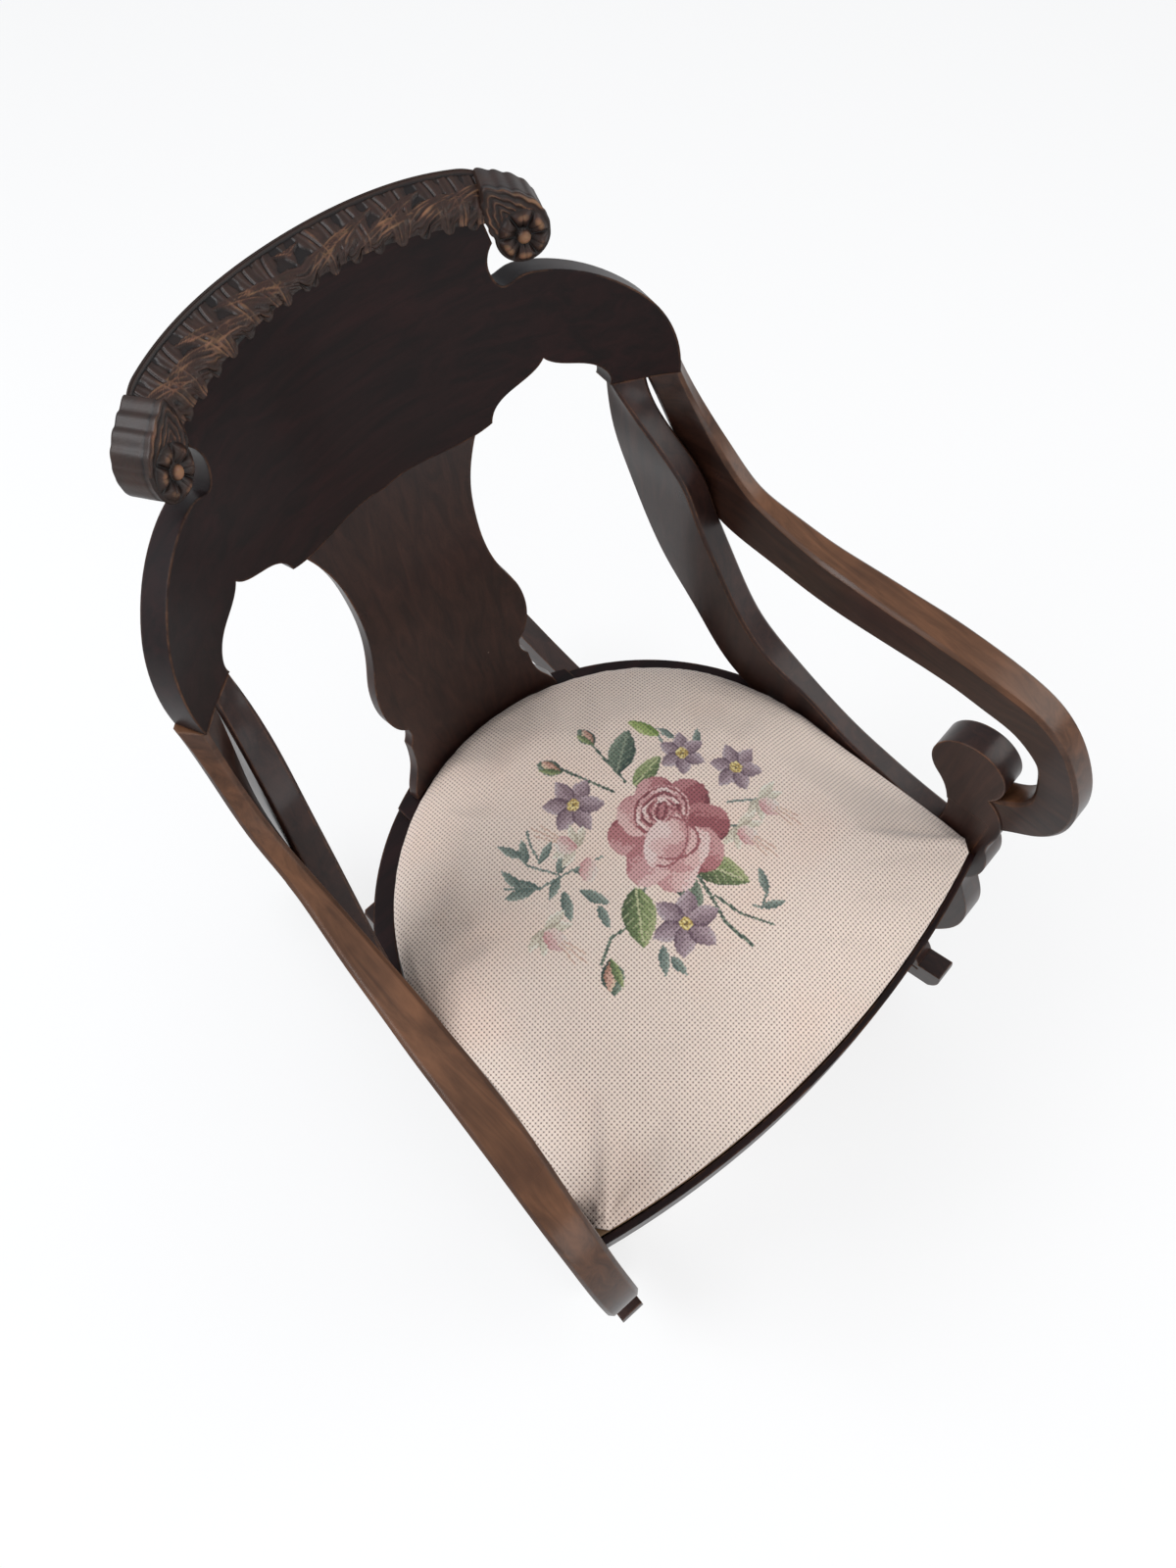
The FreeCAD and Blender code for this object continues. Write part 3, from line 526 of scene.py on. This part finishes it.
full_turn = 2 * math.pi
roll_marks = [(math.atan2(v, u) % full_turn, math.hypot(u, v)) for u, v in roll_neck]
roll_marks += [(math.radians(degrees), roll_round) for degrees in range(180, 360, 15)]
roll_marks.sort()
before = (roll_marks[-1][0] - full_turn, roll_marks[-1][1])
after = (roll_marks[0][0] + full_turn, roll_marks[0][1])
roll_marks = [before, *roll_marks, after]


def roll_reach(angle):
    """Distance in mm from the rosette's centre to the rolled end's edge."""
    for (a0, r0), (a1, r1) in zip(roll_marks, roll_marks[1:]):
        if a0 <= angle <= a1:
            f = (angle - a0) / max(a1 - a0, 1e-6)
            return r0 + (r1 - r0) * (f * f * (3 - 2 * f))
    return roll_round


def rosette_height(r, angle):
    """Height in mm, and how rubbed the wood is, on the front of the rolled end."""
    if r < eye_reach:
        dome = math.sqrt(max(0.0, 1 - (r / 5.2) ** 2))
        return 1.4 + 4.2 * dome, 0.62 + 0.38 * dome
    if r < petal_reach:
        from_middle = (angle / (math.pi / 3)) % 1.0 - 0.5
        share = (r - 4.6) / 13.7
        lobe = math.sqrt(max(0.0, 1 - min(1.0, abs(from_middle) * 2.2) ** 2.4))
        swell = math.sin(math.pi * min(1.0, share) ** 1.35)
        crease = math.exp(-(from_middle / 0.05) ** 2) * 0.30 * (1 - share)
        h = max(0.0, swell * lobe - crease)
        return 0.1 + 4.8 * h * (0.75 + 0.25 * share), 0.10 + 0.95 * h * (0.35 + 0.65 * share)
    return 0.1 + 0.5 * math.sin((r - petal_reach) * 1.1), 0.25


def neck_height(r, reach, angle):
    """Height in mm, and how rubbed the wood is, on the ribs of the neck above the rosette."""
    rubbed = 0.48 + 0.30 * math.cos((reach - r) * 0.95 + 1.6 * math.sin(angle * 3 + 0.5))
    return 0.4 + 1.6 * rubbed * min(1, (r - petal_reach) / 3), rubbed


def wall_rubbed(angle, f):
    """How rubbed the plain rounded side is, with one scratched line near its front."""
    return 0.42 - 0.30 * math.exp(-((f - 0.14) / 0.035) ** 2) + 0.03 * math.sin(angle * 5 + f * 9)


ring_count, spoke_count, wall_count = 44, 200, 26
wall_front = 0.0012
for side in (1, -1):
    rings = []
    for i in range(ring_count + wall_count + 3):
        ring = []
        for k in range(spoke_count):
            angle = full_turn * k / spoke_count
            reach = roll_reach(angle)
            if i <= ring_count:
                r = reach * (0.02 + 0.98 * i / ring_count)
                h, rubbed = rosette_height(r, angle)
                if r > petal_reach and reach > 22:
                    h, rubbed = neck_height(r, reach, angle)
                back = (1.6 * max(0.0, 1 - (reach - r) / 2.2) ** 2 - h) / 1000
            elif i <= ring_count + wall_count:
                f = (i - ring_count) / wall_count
                back = wall_front + (roll_back - wall_front) * f
                rubbed = wall_rubbed(angle, f)
                r = reach - 1.3 * (1 - rubbed)
            else:
                back, rubbed = roll_back, 0.5
                r = reach * (0.5 if i == ring_count + wall_count + 1 else 0.02)
            p = eye + (outward * math.cos(angle) + upward * math.sin(angle)) * (r / 1000) + inward * back
            ring.append(len(carved_points))
            carved_points.append(Vector((p.x * side, p.y, p.z)))
            carved_height.append(rubbed)
        rings.append(ring)
    for near, far in zip(rings, rings[1:]):
        for k in range(spoke_count):
            n = (k + 1) % spoke_count
            carved_faces.append((near[k], near[n], far[n], far[k]))
    carved_faces.append(tuple(rings[0]))
    carved_faces.append(tuple(reversed(rings[-1])))

carving = mesh_object("carved_crest", carved_points, carved_faces)
shell = bmesh.new()
shell.from_mesh(carving.data)
bmesh.ops.recalc_face_normals(shell, faces=shell.faces)
shell.to_mesh(carving.data)
shell.free()
rubbed_wood = carving.data.attributes.new("rubbed", "FLOAT", "POINT")
rubbed_wood.data.foreach_set("value", carved_height)

carved_wood, tree, shader = node_material("carved_mahogany")
height = tree.nodes.new("ShaderNodeAttribute")
height.attribute_name = "rubbed"
uneven = noise_at(tree, object_place(tree), 55.0, 5.0)
streak = noise_at(tree, object_place(tree, (60, 500, 500)), 1.0)
rubbing = calculate(tree, "MULTIPLY_ADD", uneven, 0.75, height.outputs["Fac"])
rubbing = spread(tree, rubbing, 0.0, 1.0, end=1.45)
tones = ramp(tree, rubbing, 0.30, 0.72, (0.007, 0.004, 0.0035), (0.042, 0.018, 0.011))
high_point = tones.node.color_ramp.elements.new(0.93)
high_point.color = (0.30, 0.145, 0.072, 1)
streaked = mix(tree, 0.35, tones, streak.node.outputs["Color"], "MULTIPLY")
tree.links.new(streaked, shader.inputs["Base Color"])
tree.links.new(spread(tree, uneven, 0.40, 0.62), shader.inputs["Roughness"])
shader.inputs["Specular IOR Level"].default_value = 0.32
shader.inputs["Coat Weight"].default_value = 0.08
shader.inputs["Coat Roughness"].default_value = 0.2
emboss(tree, shader, streak, 0.3, 0.0006)
carving.data.materials.append(carved_wood)
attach(carving, "chair")
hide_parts("crest_carving")


# Seat cushion: stuffed slip seat under wool needlepoint on open canvas, drawn
# over the loose frame and tacked below. Pale ground worked in crossed stitches,
# with a bouquet of a rose, buds, lilac and hanging flowers in the middle.
stitch = 0.0016
seat_tilt = math.radians(2.25)
most_swelling, swell_frames = 0.006, 20
tacked_depth = 0.012
soft = bmesh.new()
soft.from_mesh(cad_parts["seat_cushion"].data)
bmesh.ops.remove_doubles(soft, verts=soft.verts, dist=1e-5)
soft_mesh = bpy.data.meshes.new("stuffing")
soft.to_mesh(soft_mesh)
soft.free()
stuffing = bpy.data.objects.new("stuffing", soft_mesh)
bpy.context.scene.collection.objects.link(stuffing)
remesh = stuffing.modifiers.new("even", "REMESH")
remesh.mode = "VOXEL"
remesh.voxel_size = 0.006
evened = bpy.data.meshes.new_from_object(stuffing.evaluated_get(bpy.context.evaluated_depsgraph_get()))
stuffing.modifiers.clear()
stuffing.data = evened
started = np.array([v.co for v in evened.vertices])
cloth = stuffing.modifiers.new("swell", "CLOTH")
cloth.settings.use_pressure = True
cloth.settings.uniform_pressure_force = 3.0
cloth.settings.effector_weights.gravity = 0.0
cloth.settings.quality = 5
cloth.settings.tension_stiffness = 25
cloth.settings.compression_stiffness = 25
held = stuffing.vertex_groups.new(name="tacked")
level = started[:, 2] + started[:, 1] * math.tan(seat_tilt)
held.add([int(k) for k in np.nonzero(level < level.min() + tacked_depth)[0]], 1.0, "REPLACE")
cloth.settings.vertex_group_mass = "tacked"
for step in range(1, swell_frames + 1):
    bpy.context.scene.frame_set(step)
swollen = bpy.data.meshes.new_from_object(stuffing.evaluated_get(bpy.context.evaluated_depsgraph_get()))
moved = np.array([v.co for v in swollen.vertices]) - started
distance = np.linalg.norm(moved, axis=1)
moved *= np.minimum(1.0, most_swelling / np.maximum(distance, 1e-9))[:, None]
stuffing.modifiers.clear()
evened.vertices.foreach_set("co", (started + moved).ravel())
bpy.context.scene.frame_set(1)
evened.update()
cover = BVHTree.FromPolygons([v.co for v in evened.vertices], [tuple(p.vertices) for p in evened.polygons])
bpy.data.objects.remove(stuffing)

# The D-shaped outline: a half ellipse behind, straight sides that splay a little
# towards the front corners, and a bowed front.
seat_half, seat_depth, straight_y = 0.2430, 0.2395, -0.100
corner_x, corner_y, front_bow = 0.2510, -0.2925, 0.035


def seat_edge(turn):
    """Point of the outline, from the sitter's left round the back and the right to the front, and up."""
    if turn < 0.5:
        a = math.pi * turn / 0.5
        return seat_half * math.cos(a), straight_y + seat_depth * math.sin(a)
    if turn < 0.65:
        share = (turn - 0.5) / 0.15
        return -seat_half - (corner_x - seat_half) * share, straight_y + (corner_y - straight_y) * share
    if turn < 0.85:
        x = -corner_x + 2 * corner_x * (turn - 0.65) / 0.20
        return x, corner_y - front_bow * (1 - (x / corner_x) ** 2)
    share = (turn - 0.85) / 0.15
    return corner_x - (corner_x - seat_half) * share, corner_y + (straight_y - corner_y) * share


def inside(x, y, margin):
    """Whether places lie within the outline, less a margin."""
    back = (x / (seat_half - margin)) ** 2 + ((y - straight_y) / (seat_depth - margin)) ** 2 < 1
    splay = (corner_x - seat_half) * np.clip((straight_y - y) / (straight_y - corner_y), 0, 1)
    side = np.abs(x) < seat_half - margin + splay
    front = y > corner_y - front_bow * (1 - (x / corner_x) ** 2) + margin
    return np.where(y > straight_y, back, side & front)


# One face for each stitch, then rings round the rim that turn down the sides. Each ring
# goes out by a share of the way to the outline and sinks below the top, in metres.
outline = np.array([seat_edge(k / 1600) for k in range(1600)])
xs = np.arange(-0.256, 0.2561, stitch)
ys = np.arange(-0.332, 0.1441, stitch)
grid_x, grid_y = np.meshgrid(xs, ys)
cell_x, cell_y = grid_x[:-1, :-1] + stitch / 2, grid_y[:-1, :-1] + stitch / 2
used = inside(cell_x, cell_y, 0.010)
number = -np.ones(grid_x.shape, int)
corners = np.zeros(grid_x.shape, bool)
for dy, dx in ((0, 0), (0, 1), (1, 0), (1, 1)):
    corners[dy:dy + used.shape[0], dx:dx + used.shape[1]] |= used
number[corners] = np.arange(corners.sum())
plan = np.stack([grid_x[corners], grid_y[corners]], axis=1)
quads = [(number[j, i], number[j, i + 1], number[j + 1, i + 1], number[j + 1, i])
         for j, i in zip(*np.nonzero(used))]
seat = bmesh.new()
made = [seat.verts.new((x, y, 0)) for x, y in plan]
for quad in quads:
    seat.faces.new([made[k] for k in quad])
rim_edges = [e for e in seat.edges if e.is_boundary]
rim_verts = list({v for e in rim_edges for v in e.verts})
for _ in range(6):
    eased = {}
    for v in rim_verts:
        near = [e.other_vert(v).co for e in v.link_edges if e.is_boundary]
        eased[v] = (v.co + sum(near, Vector()) / len(near)) / 2
    for v, co in eased.items():
        v.co = co
rim_rings = ((0.38, 0), (0.60, 0), (0.95, 0.0025), (0, 0.007), (0, 0.012), (0, 0.017), (0, 0.022))
for share_out, sink in rim_rings:
    ring = bmesh.ops.extrude_edge_only(seat, edges=rim_edges)["geom"]
    rim_edges = [g for g in ring if isinstance(g, bmesh.types.BMEdge) and g.is_boundary]
    for v in {v for e in rim_edges for v in e.verts}:
        gap = outline - (v.co.x, v.co.y)
        to = outline[np.argmin((gap ** 2).sum(axis=1))]
        v.co.x += (to[0] - v.co.x) * share_out
        v.co.y += (to[1] - v.co.y) * share_out
        v.co.z = -sink
# Each point takes the height of the swollen shape a little further in, where there is some.
inward_x, inward_back, inward_front = 0.992, 0.994, 0.996
front_rim_y, front_rim_z = -0.294, 0.457
for v in seat.verts:
    x, y, sink = v.co
    above = Vector((x * inward_x, y * (inward_back if y > -0.25 else inward_front), 0.6))
    hit = cover.ray_cast(above, Vector((0, 0, -1)))[0]
    rim_height = front_rim_z - math.tan(seat_tilt) * (y - front_rim_y)
    v.co.z = (hit.z if hit else rim_height) + sink
bmesh.ops.recalc_face_normals(seat, faces=seat.faces)
if sum(f.normal.z for f in list(seat.faces)[:200]) < 0:
    bmesh.ops.reverse_faces(seat, faces=seat.faces)
for _ in range(2):
    bmesh.ops.smooth_vert(seat, verts=seat.verts, factor=0.5, use_axis_z=True)
# Gathers at the two front corners, and a faint unevenness of the stuffing.
gather_y, gather_reach = -0.292, 0.07
for v in seat.verts:
    for gather_x, strength in ((-0.247, 0.0016), (0.247, 0.0010)):
        far = math.hypot(v.co.x - gather_x, v.co.y - gather_y)
        if far < gather_reach:
            turn = math.atan2(v.co.y - gather_y, v.co.x - gather_x)
            v.co.z += strength * math.sin(turn * 13) * math.exp(-far / 0.028) * min(1, far / 0.01)
    v.co.z += 0.0011 * noise.noise(Vector((v.co.x * 9, v.co.y * 9, 3))) + 0.00035 * noise.noise(v.co * 60)
seat_mesh = bpy.data.meshes.new("needlepoint_seat")
seat.to_mesh(seat_mesh)
seat.free()
seat_mesh.polygons.foreach_set("use_smooth", [True] * len(seat_mesh.polygons))

# Wool: a colour for each stitch. Places on the seat are in mm and the bouquet is worked
# in this order: stalks, sprigs, leaves, lilac flowers, hanging flowers, buds and the rose.
centres = np.zeros(len(seat_mesh.polygons) * 3)
seat_mesh.polygons.foreach_get("center", centres)
px, py = centres.reshape(-1, 3)[:, 0] * 1000, centres.reshape(-1, 3)[:, 1] * 1000
grainy = np.random.default_rng(7).random(len(px))
wool = np.tile([0.790, 0.655, 0.560], (len(px), 1))
wave = np.sin(px * 0.021 + 1.3 * np.sin(py * 0.013)) + np.sin(py * 0.017 + 2.1 * np.sin(px * 0.009 + 1))
wool += (0.014 * wave)[:, None] * np.array([1.0, 0.75, 0.65])
wool *= (0.955 + 0.09 * grainy)[:, None]


def shade_of(values, amount):
    """Steps of wool from dark to light, chosen stitch by stitch."""
    steps = np.clip((amount + 0.16 * (grainy - 0.5)) * len(values), 0, len(values) - 1).astype(int)
    return np.array(values)[steps]


def local(cx, cy, angle):
    """Distances along and across a direction from a centre, in mm."""
    a = math.radians(angle)
    dx, dy = px - cx, py - cy
    return dx * math.cos(a) + dy * math.sin(a), dy * math.cos(a) - dx * math.sin(a)


def petal(cx, cy, angle, length, width, wools, tip=0.0, vein=None):
    """One petal or leaf worked from its foot outward."""
    u, w = local(cx, cy, angle)
    share = np.clip(u / length, 0, 1)
    half = width / 2 * np.sin(np.pi * share ** (0.75 + tip)) ** 0.8
    if tip < 0:
        half = width / 2 * np.sqrt(np.maximum(0, 1 - (2 * share - 1) ** 2)) * (1 + 0.05 * np.sin(share * 14))
    within = (u > 0) & (u < length) & (np.abs(w) < half)
    side = 0.5 + 0.5 * w / np.maximum(half, 0.5)
    wool[within] = shade_of(wools, 0.35 * share + 0.65 * side)[within]
    if vein is not None:
        wool[within & (np.abs(w) < 1.0) & (share < 0.9)] = vein
        ribs = within & (np.abs((u - np.abs(w)) % 9 - 4.5) < 0.8)
        wool[ribs] = wool[ribs] * 0.5 + np.array(vein) * 0.5


def stem(points, wools, width=1.7):
    """A worked stalk through a few points."""
    for (ax, ay), (bx, by) in zip(points, points[1:]):
        length = math.hypot(bx - ax, by - ay)
        u = ((px - ax) * (bx - ax) + (py - ay) * (by - ay)) / length
        w = -(px - ax) * (by - ay) / length + (py - ay) * (bx - ax) / length
        on = (u > -1) & (u < length + 1) & (np.abs(w) < width)
        wool[on] = shade_of(wools, grainy)[on]


leaf_green = [(0.075, 0.105, 0.050), (0.130, 0.175, 0.075), (0.235, 0.290, 0.125), (0.370, 0.400, 0.200)]
deep_green = [(0.045, 0.068, 0.055), (0.080, 0.115, 0.085), (0.135, 0.180, 0.130), (0.230, 0.275, 0.205)]
grey_green = [(0.110, 0.150, 0.130), (0.185, 0.230, 0.195), (0.290, 0.335, 0.285)]
lilac = [(0.150, 0.095, 0.120), (0.260, 0.185, 0.210), (0.365, 0.275, 0.300), (0.460, 0.375, 0.390)]
blush = [(0.560, 0.300, 0.290), (0.640, 0.420, 0.390), (0.700, 0.560, 0.500), (0.720, 0.640, 0.570)]
rose = [(0.175, 0.045, 0.055), (0.300, 0.095, 0.105), (0.430, 0.180, 0.185),
        (0.560, 0.310, 0.300), (0.680, 0.460, 0.430), (0.740, 0.580, 0.540)]
cream = [(0.480, 0.430, 0.330), (0.640, 0.590, 0.470), (0.740, 0.700, 0.600)]

stem([(16, -216), (14, -185), (24, -155), (34, -120)], deep_green)
stem([(44, -216), (30, -188), (26, -160)], deep_green, 1.4)
stem([(65, -190), (48, -198), (44, -190)], grey_green, 1.2)
stem([(12, 44), (20, 20), (34, -20)], deep_green, 1.3)
stem([(58, 44), (54, 20), (50, -20)], deep_green, 1.3)
stem([(-106, -20), (-84, -42), (-50, -50), (-20, -60)], grey_green, 1.1)
stem([(-77, 8), (-76, -18), (-62, -44)], grey_green, 1.1)
stem([(-53, 8), (-60, -4), (-66, -24)], grey_green, 1.1)
stem([(-14, -110), (-40, -120)], deep_green, 1.2)
stem([(-93, -134), (-70, -122), (-50, -126)], deep_green, 1.4)
stem([(92, -128), (80, -112)], grey_green, 1.1)
stem([(129, -124), (104, -104)], grey_green, 1.1)
stem([(112, 0), (100, -30)], grey_green, 1.1)
for cx, cy, angle, length, width in (
    (-84, -42, 122, 30, 10), (-88, -40, 152, 30, 10), (-96, -30, 92, 26, 9), (-76, -16, 58, 26, 9),
    (-74, -8, 110, 26, 9), (-62, -44, 28, 28, 10), (-62, -46, 205, 26, 9), (-70, -60, 240, 30, 11),
    (-58, -70, 290, 30, 11), (-50, -52, 330, 22, 9), (-66, -24, 20, 24, 8), (-56, -92, 250, 24, 9),
    (-42, -160, 230, 28, 10), (-44, -172, 265, 22, 9), (62, -192, 60, 26, 9), (48, -197, 330, 24, 8),
    (128, -40, 40, 18, 8), (118, -20, 100, 20, 7),
):
    petal(cx, cy, angle, length, width, grey_green, 0.1)
petal(50, -8, 32, 50, 26, deep_green, 0.15, (0.24, 0.28, 0.20))
petal(52, -30, 8, 42, 19, leaf_green, 0.1, (0.42, 0.44, 0.24))
petal(110, -8, 108, 36, 13, [(0.16, 0.24, 0.06), (0.30, 0.38, 0.12), (0.46, 0.50, 0.22)], 0.2)
petal(-20, -104, 232, 58, 32, leaf_green, 0.1, (0.46, 0.47, 0.27))
petal(36, -118, 292, 60, 30, leaf_green, 0.1, (0.48, 0.48, 0.30))
petal(20, -120, 252, 44, 22, deep_green, 0.1, (0.27, 0.30, 0.22))


def star(cx, cy, size, spin, count=6):
    """A lilac flower seen from the front, pointed petals round a yellow eye."""
    for k in range(count):
        petal(cx, cy, spin + 360 / count * k, size, size * 0.60, lilac, 0.25)
    far = np.hypot(px - cx, py - cy)
    eye = far < 6.2
    wool[eye] = shade_of([(0.40, 0.27, 0.08), (0.62, 0.48, 0.16), (0.72, 0.62, 0.30)], grainy)[eye]
    wool[far < 1.6] = (0.20, 0.13, 0.05)


star(-3, -3, 30, 20)
star(111, -37, 24, 50)
star(137, -84, 26, 5)
star(-12, -160, 33, 40)


def bell(cx, cy, size, slant):
    """A hanging flower: spread cream sepals over a pink skirt with long threads."""
    for sepal in (-84.5, -50.5, 50.5, 84.5):
        petal(cx, cy, 270 + slant + sepal, size, size * 0.40, cream, 0.1)
    petal(cx - 1, cy - 2, 270 + slant, size * 0.95, size * 0.72, blush, -0.1)
    for turn in (-9, 0, 8):
        a = math.radians(270 + slant + turn)
        hang, reach = size * 0.8, size * (1.9 - abs(turn) * 0.03)
        thread = [(cx + math.cos(a) * hang, cy + math.sin(a) * hang),
                  (cx + math.cos(a) * reach, cy + math.sin(a) * reach)]
        stem(thread, [(0.62, 0.42, 0.34), (0.70, 0.52, 0.40)], 0.9)


bell(-107, -74, 26, 6)
bell(-32, -36, 24, 200)
bell(92, -128, 24, 4)
bell(128, -122, 24, 10)
petal(-30, -52, 225, 24, 17, blush, -0.1)
bud_wool = [(0.38, 0.20, 0.14), (0.56, 0.34, 0.26), (0.66, 0.50, 0.36)]
for cx, cy, angle, size in ((14, 30, 115, 27), (57, 30, 85, 26), (-84, -136, 232, 34)):
    petal(cx, cy, angle, size, size * 0.62, deep_green, 0.2)
    foot_x, foot_y = cx + 2 * math.cos(math.radians(angle)), cy + 2 * math.sin(math.radians(angle))
    petal(foot_x, foot_y, angle - 8, size * 0.82, size * 0.34, bud_wool, 0.2)
    petal(cx, cy, angle + 16, size * 0.85, size * 0.24, leaf_green, 0.2)

# The full rose: outer petals that curl back, a heart of dark folds and a cupped front petal.
for dx, dy, angle, length, width, low in (
    (-2, 6, 150, 50, 46, 1), (6, 8, 118, 46, 44, 2), (6, 6, 62, 50, 46, 1), (8, -2, 20, 54, 48, 0),
    (6, -8, -28, 52, 46, 0), (0, -10, -72, 50, 48, 1), (-6, -8, 238, 52, 46, 3), (-6, -2, 198, 54, 42, 2),
    (2, -2, 262, 44, 54, 3),
):
    petal(40 + dx, -84 + dy, angle, length, width, rose[low:low + 3] if low < 3 else rose[2:], -0.05)
heart_x, heart_y = 52.0, -66.0
far = np.hypot((px - heart_x) / 1.15, py - heart_y)
spin = np.arctan2(py - heart_y, px - heart_x)
heart = far < 25
wool[heart] = shade_of(rose[1:5], 0.25 + 0.5 * far / 25)[heart]
for middle, ring, reach, wide in (
    (40, 21, 66, 3.0), (160, 22, 58, 2.6), (280, 21, 60, 3.0), (100, 15.5, 70, 2.6), (225, 15, 62, 2.8),
    (345, 16, 58, 2.4), (60, 9.5, 80, 2.2), (205, 9, 75, 2.4), (310, 5, 110, 2.0), (130, 4, 100, 1.8),
):
    bow = ring + 3.5 * (1 - np.cos(spin - math.radians(middle)))
    aside = np.abs((np.degrees(spin) - middle + 180) % 360 - 180)
    fold = heart & (aside < reach) & (np.abs(far - bow) < wide * (1.1 - aside / reach * 0.8))
    wool[fold] = shade_of(rose[:2], (far - bow) / wide * 0.5 + 0.5)[fold]
    lip = heart & (aside < reach) & (np.abs(far - bow - wide * 1.5) < wide * 0.6)
    wool[lip] = shade_of(rose[3:], aside / reach)[lip]
cup_u, cup_w = local(34, -92, 20)
cup = (np.hypot(cup_u / 30, cup_w / 20) < 1) & (np.hypot(px - heart_x, py - heart_y) > 13)
wool[cup] = shade_of(rose[3:], 0.5 + 0.5 * cup_w / 20 + 0.15 * np.sin(cup_u * 0.2))[cup]
for u0, w0, r0 in ((30, 20, 1.0), (24, 34, 0.9)):
    u, w = local(36, -88, 35)
    line_on = (np.abs(np.hypot(u / u0, w / w0) - r0) < 0.045) & (w < 4)
    wool[line_on] = (0.34, 0.12, 0.13)

corners_of_stitch = np.zeros(len(seat_mesh.polygons), int)
seat_mesh.polygons.foreach_get("loop_total", corners_of_stitch)
with_alpha = np.concatenate([wool, np.ones((len(px), 1))], axis=1)
worked_wool = seat_mesh.color_attributes.new("wool", "FLOAT_COLOR", "CORNER")
corner_wool = np.repeat(with_alpha, corners_of_stitch, axis=0)
worked_wool.data.foreach_set("color", corner_wool.ravel().astype(np.float32))
cushion = bpy.data.objects.new("needlepoint_seat", seat_mesh)
bpy.context.scene.collection.objects.link(cushion)

needlepoint, tree, shader = node_material("wool_needlepoint")
worked = tree.nodes.new("ShaderNodeAttribute")
worked.attribute_name = "wool"
place = object_place(tree)
axes = tree.nodes.new("ShaderNodeSeparateXYZ")
tree.links.new(place, axes.inputs[0])
canvas_pitch = 0.0034
gaps = []
for along in (axes.outputs["X"], axes.outputs["Y"]):
    wave = calculate(tree, "SINE", calculate(tree, "MULTIPLY", along, math.pi / canvas_pitch))
    gaps.append(calculate(tree, "SUBTRACT", 1.0, calculate(tree, "ABSOLUTE", wave)))
hole = spread(tree, calculate(tree, "MULTIPLY", *gaps), 0.0, 1.0, 0.20, 0.50)
groove = calculate(tree, "MAXIMUM", *gaps)
in_shadow = calculate(tree, "MAXIMUM", hole, spread(tree, groove, 0.0, 0.22, 0.62, 1.0))
colour = mix(tree, in_shadow, worked.outputs["Color"], (0.15, 0.080, 0.065, 1), "MULTIPLY")
yellowed = spread(tree, noise_at(tree, place, 7.0, 5.0), 0.0, 0.35, 0.52, 0.74)
colour = mix(tree, yellowed, colour, (1.0, 0.80, 0.72, 1), "MULTIPLY")
tree.links.new(colour, shader.inputs["Base Color"])
fibre = calculate(tree, "MULTIPLY", noise_at(tree, place, 1400.0), 0.35)
sunk = calculate(tree, "ADD", hole, calculate(tree, "MULTIPLY", groove, 0.6))
emboss(tree, shader, calculate(tree, "SUBTRACT", fibre, sunk), 0.7, 0.0005)
shader.inputs["Roughness"].default_value = 0.92
shader.inputs["Specular IOR Level"].default_value = 0.2
shader.inputs["Sheen Weight"].default_value = 0.25
shader.inputs["Sheen Roughness"].default_value = 0.6
cushion.data.materials.append(needlepoint)
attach(cushion, "chair")
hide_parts("seat_cushion")
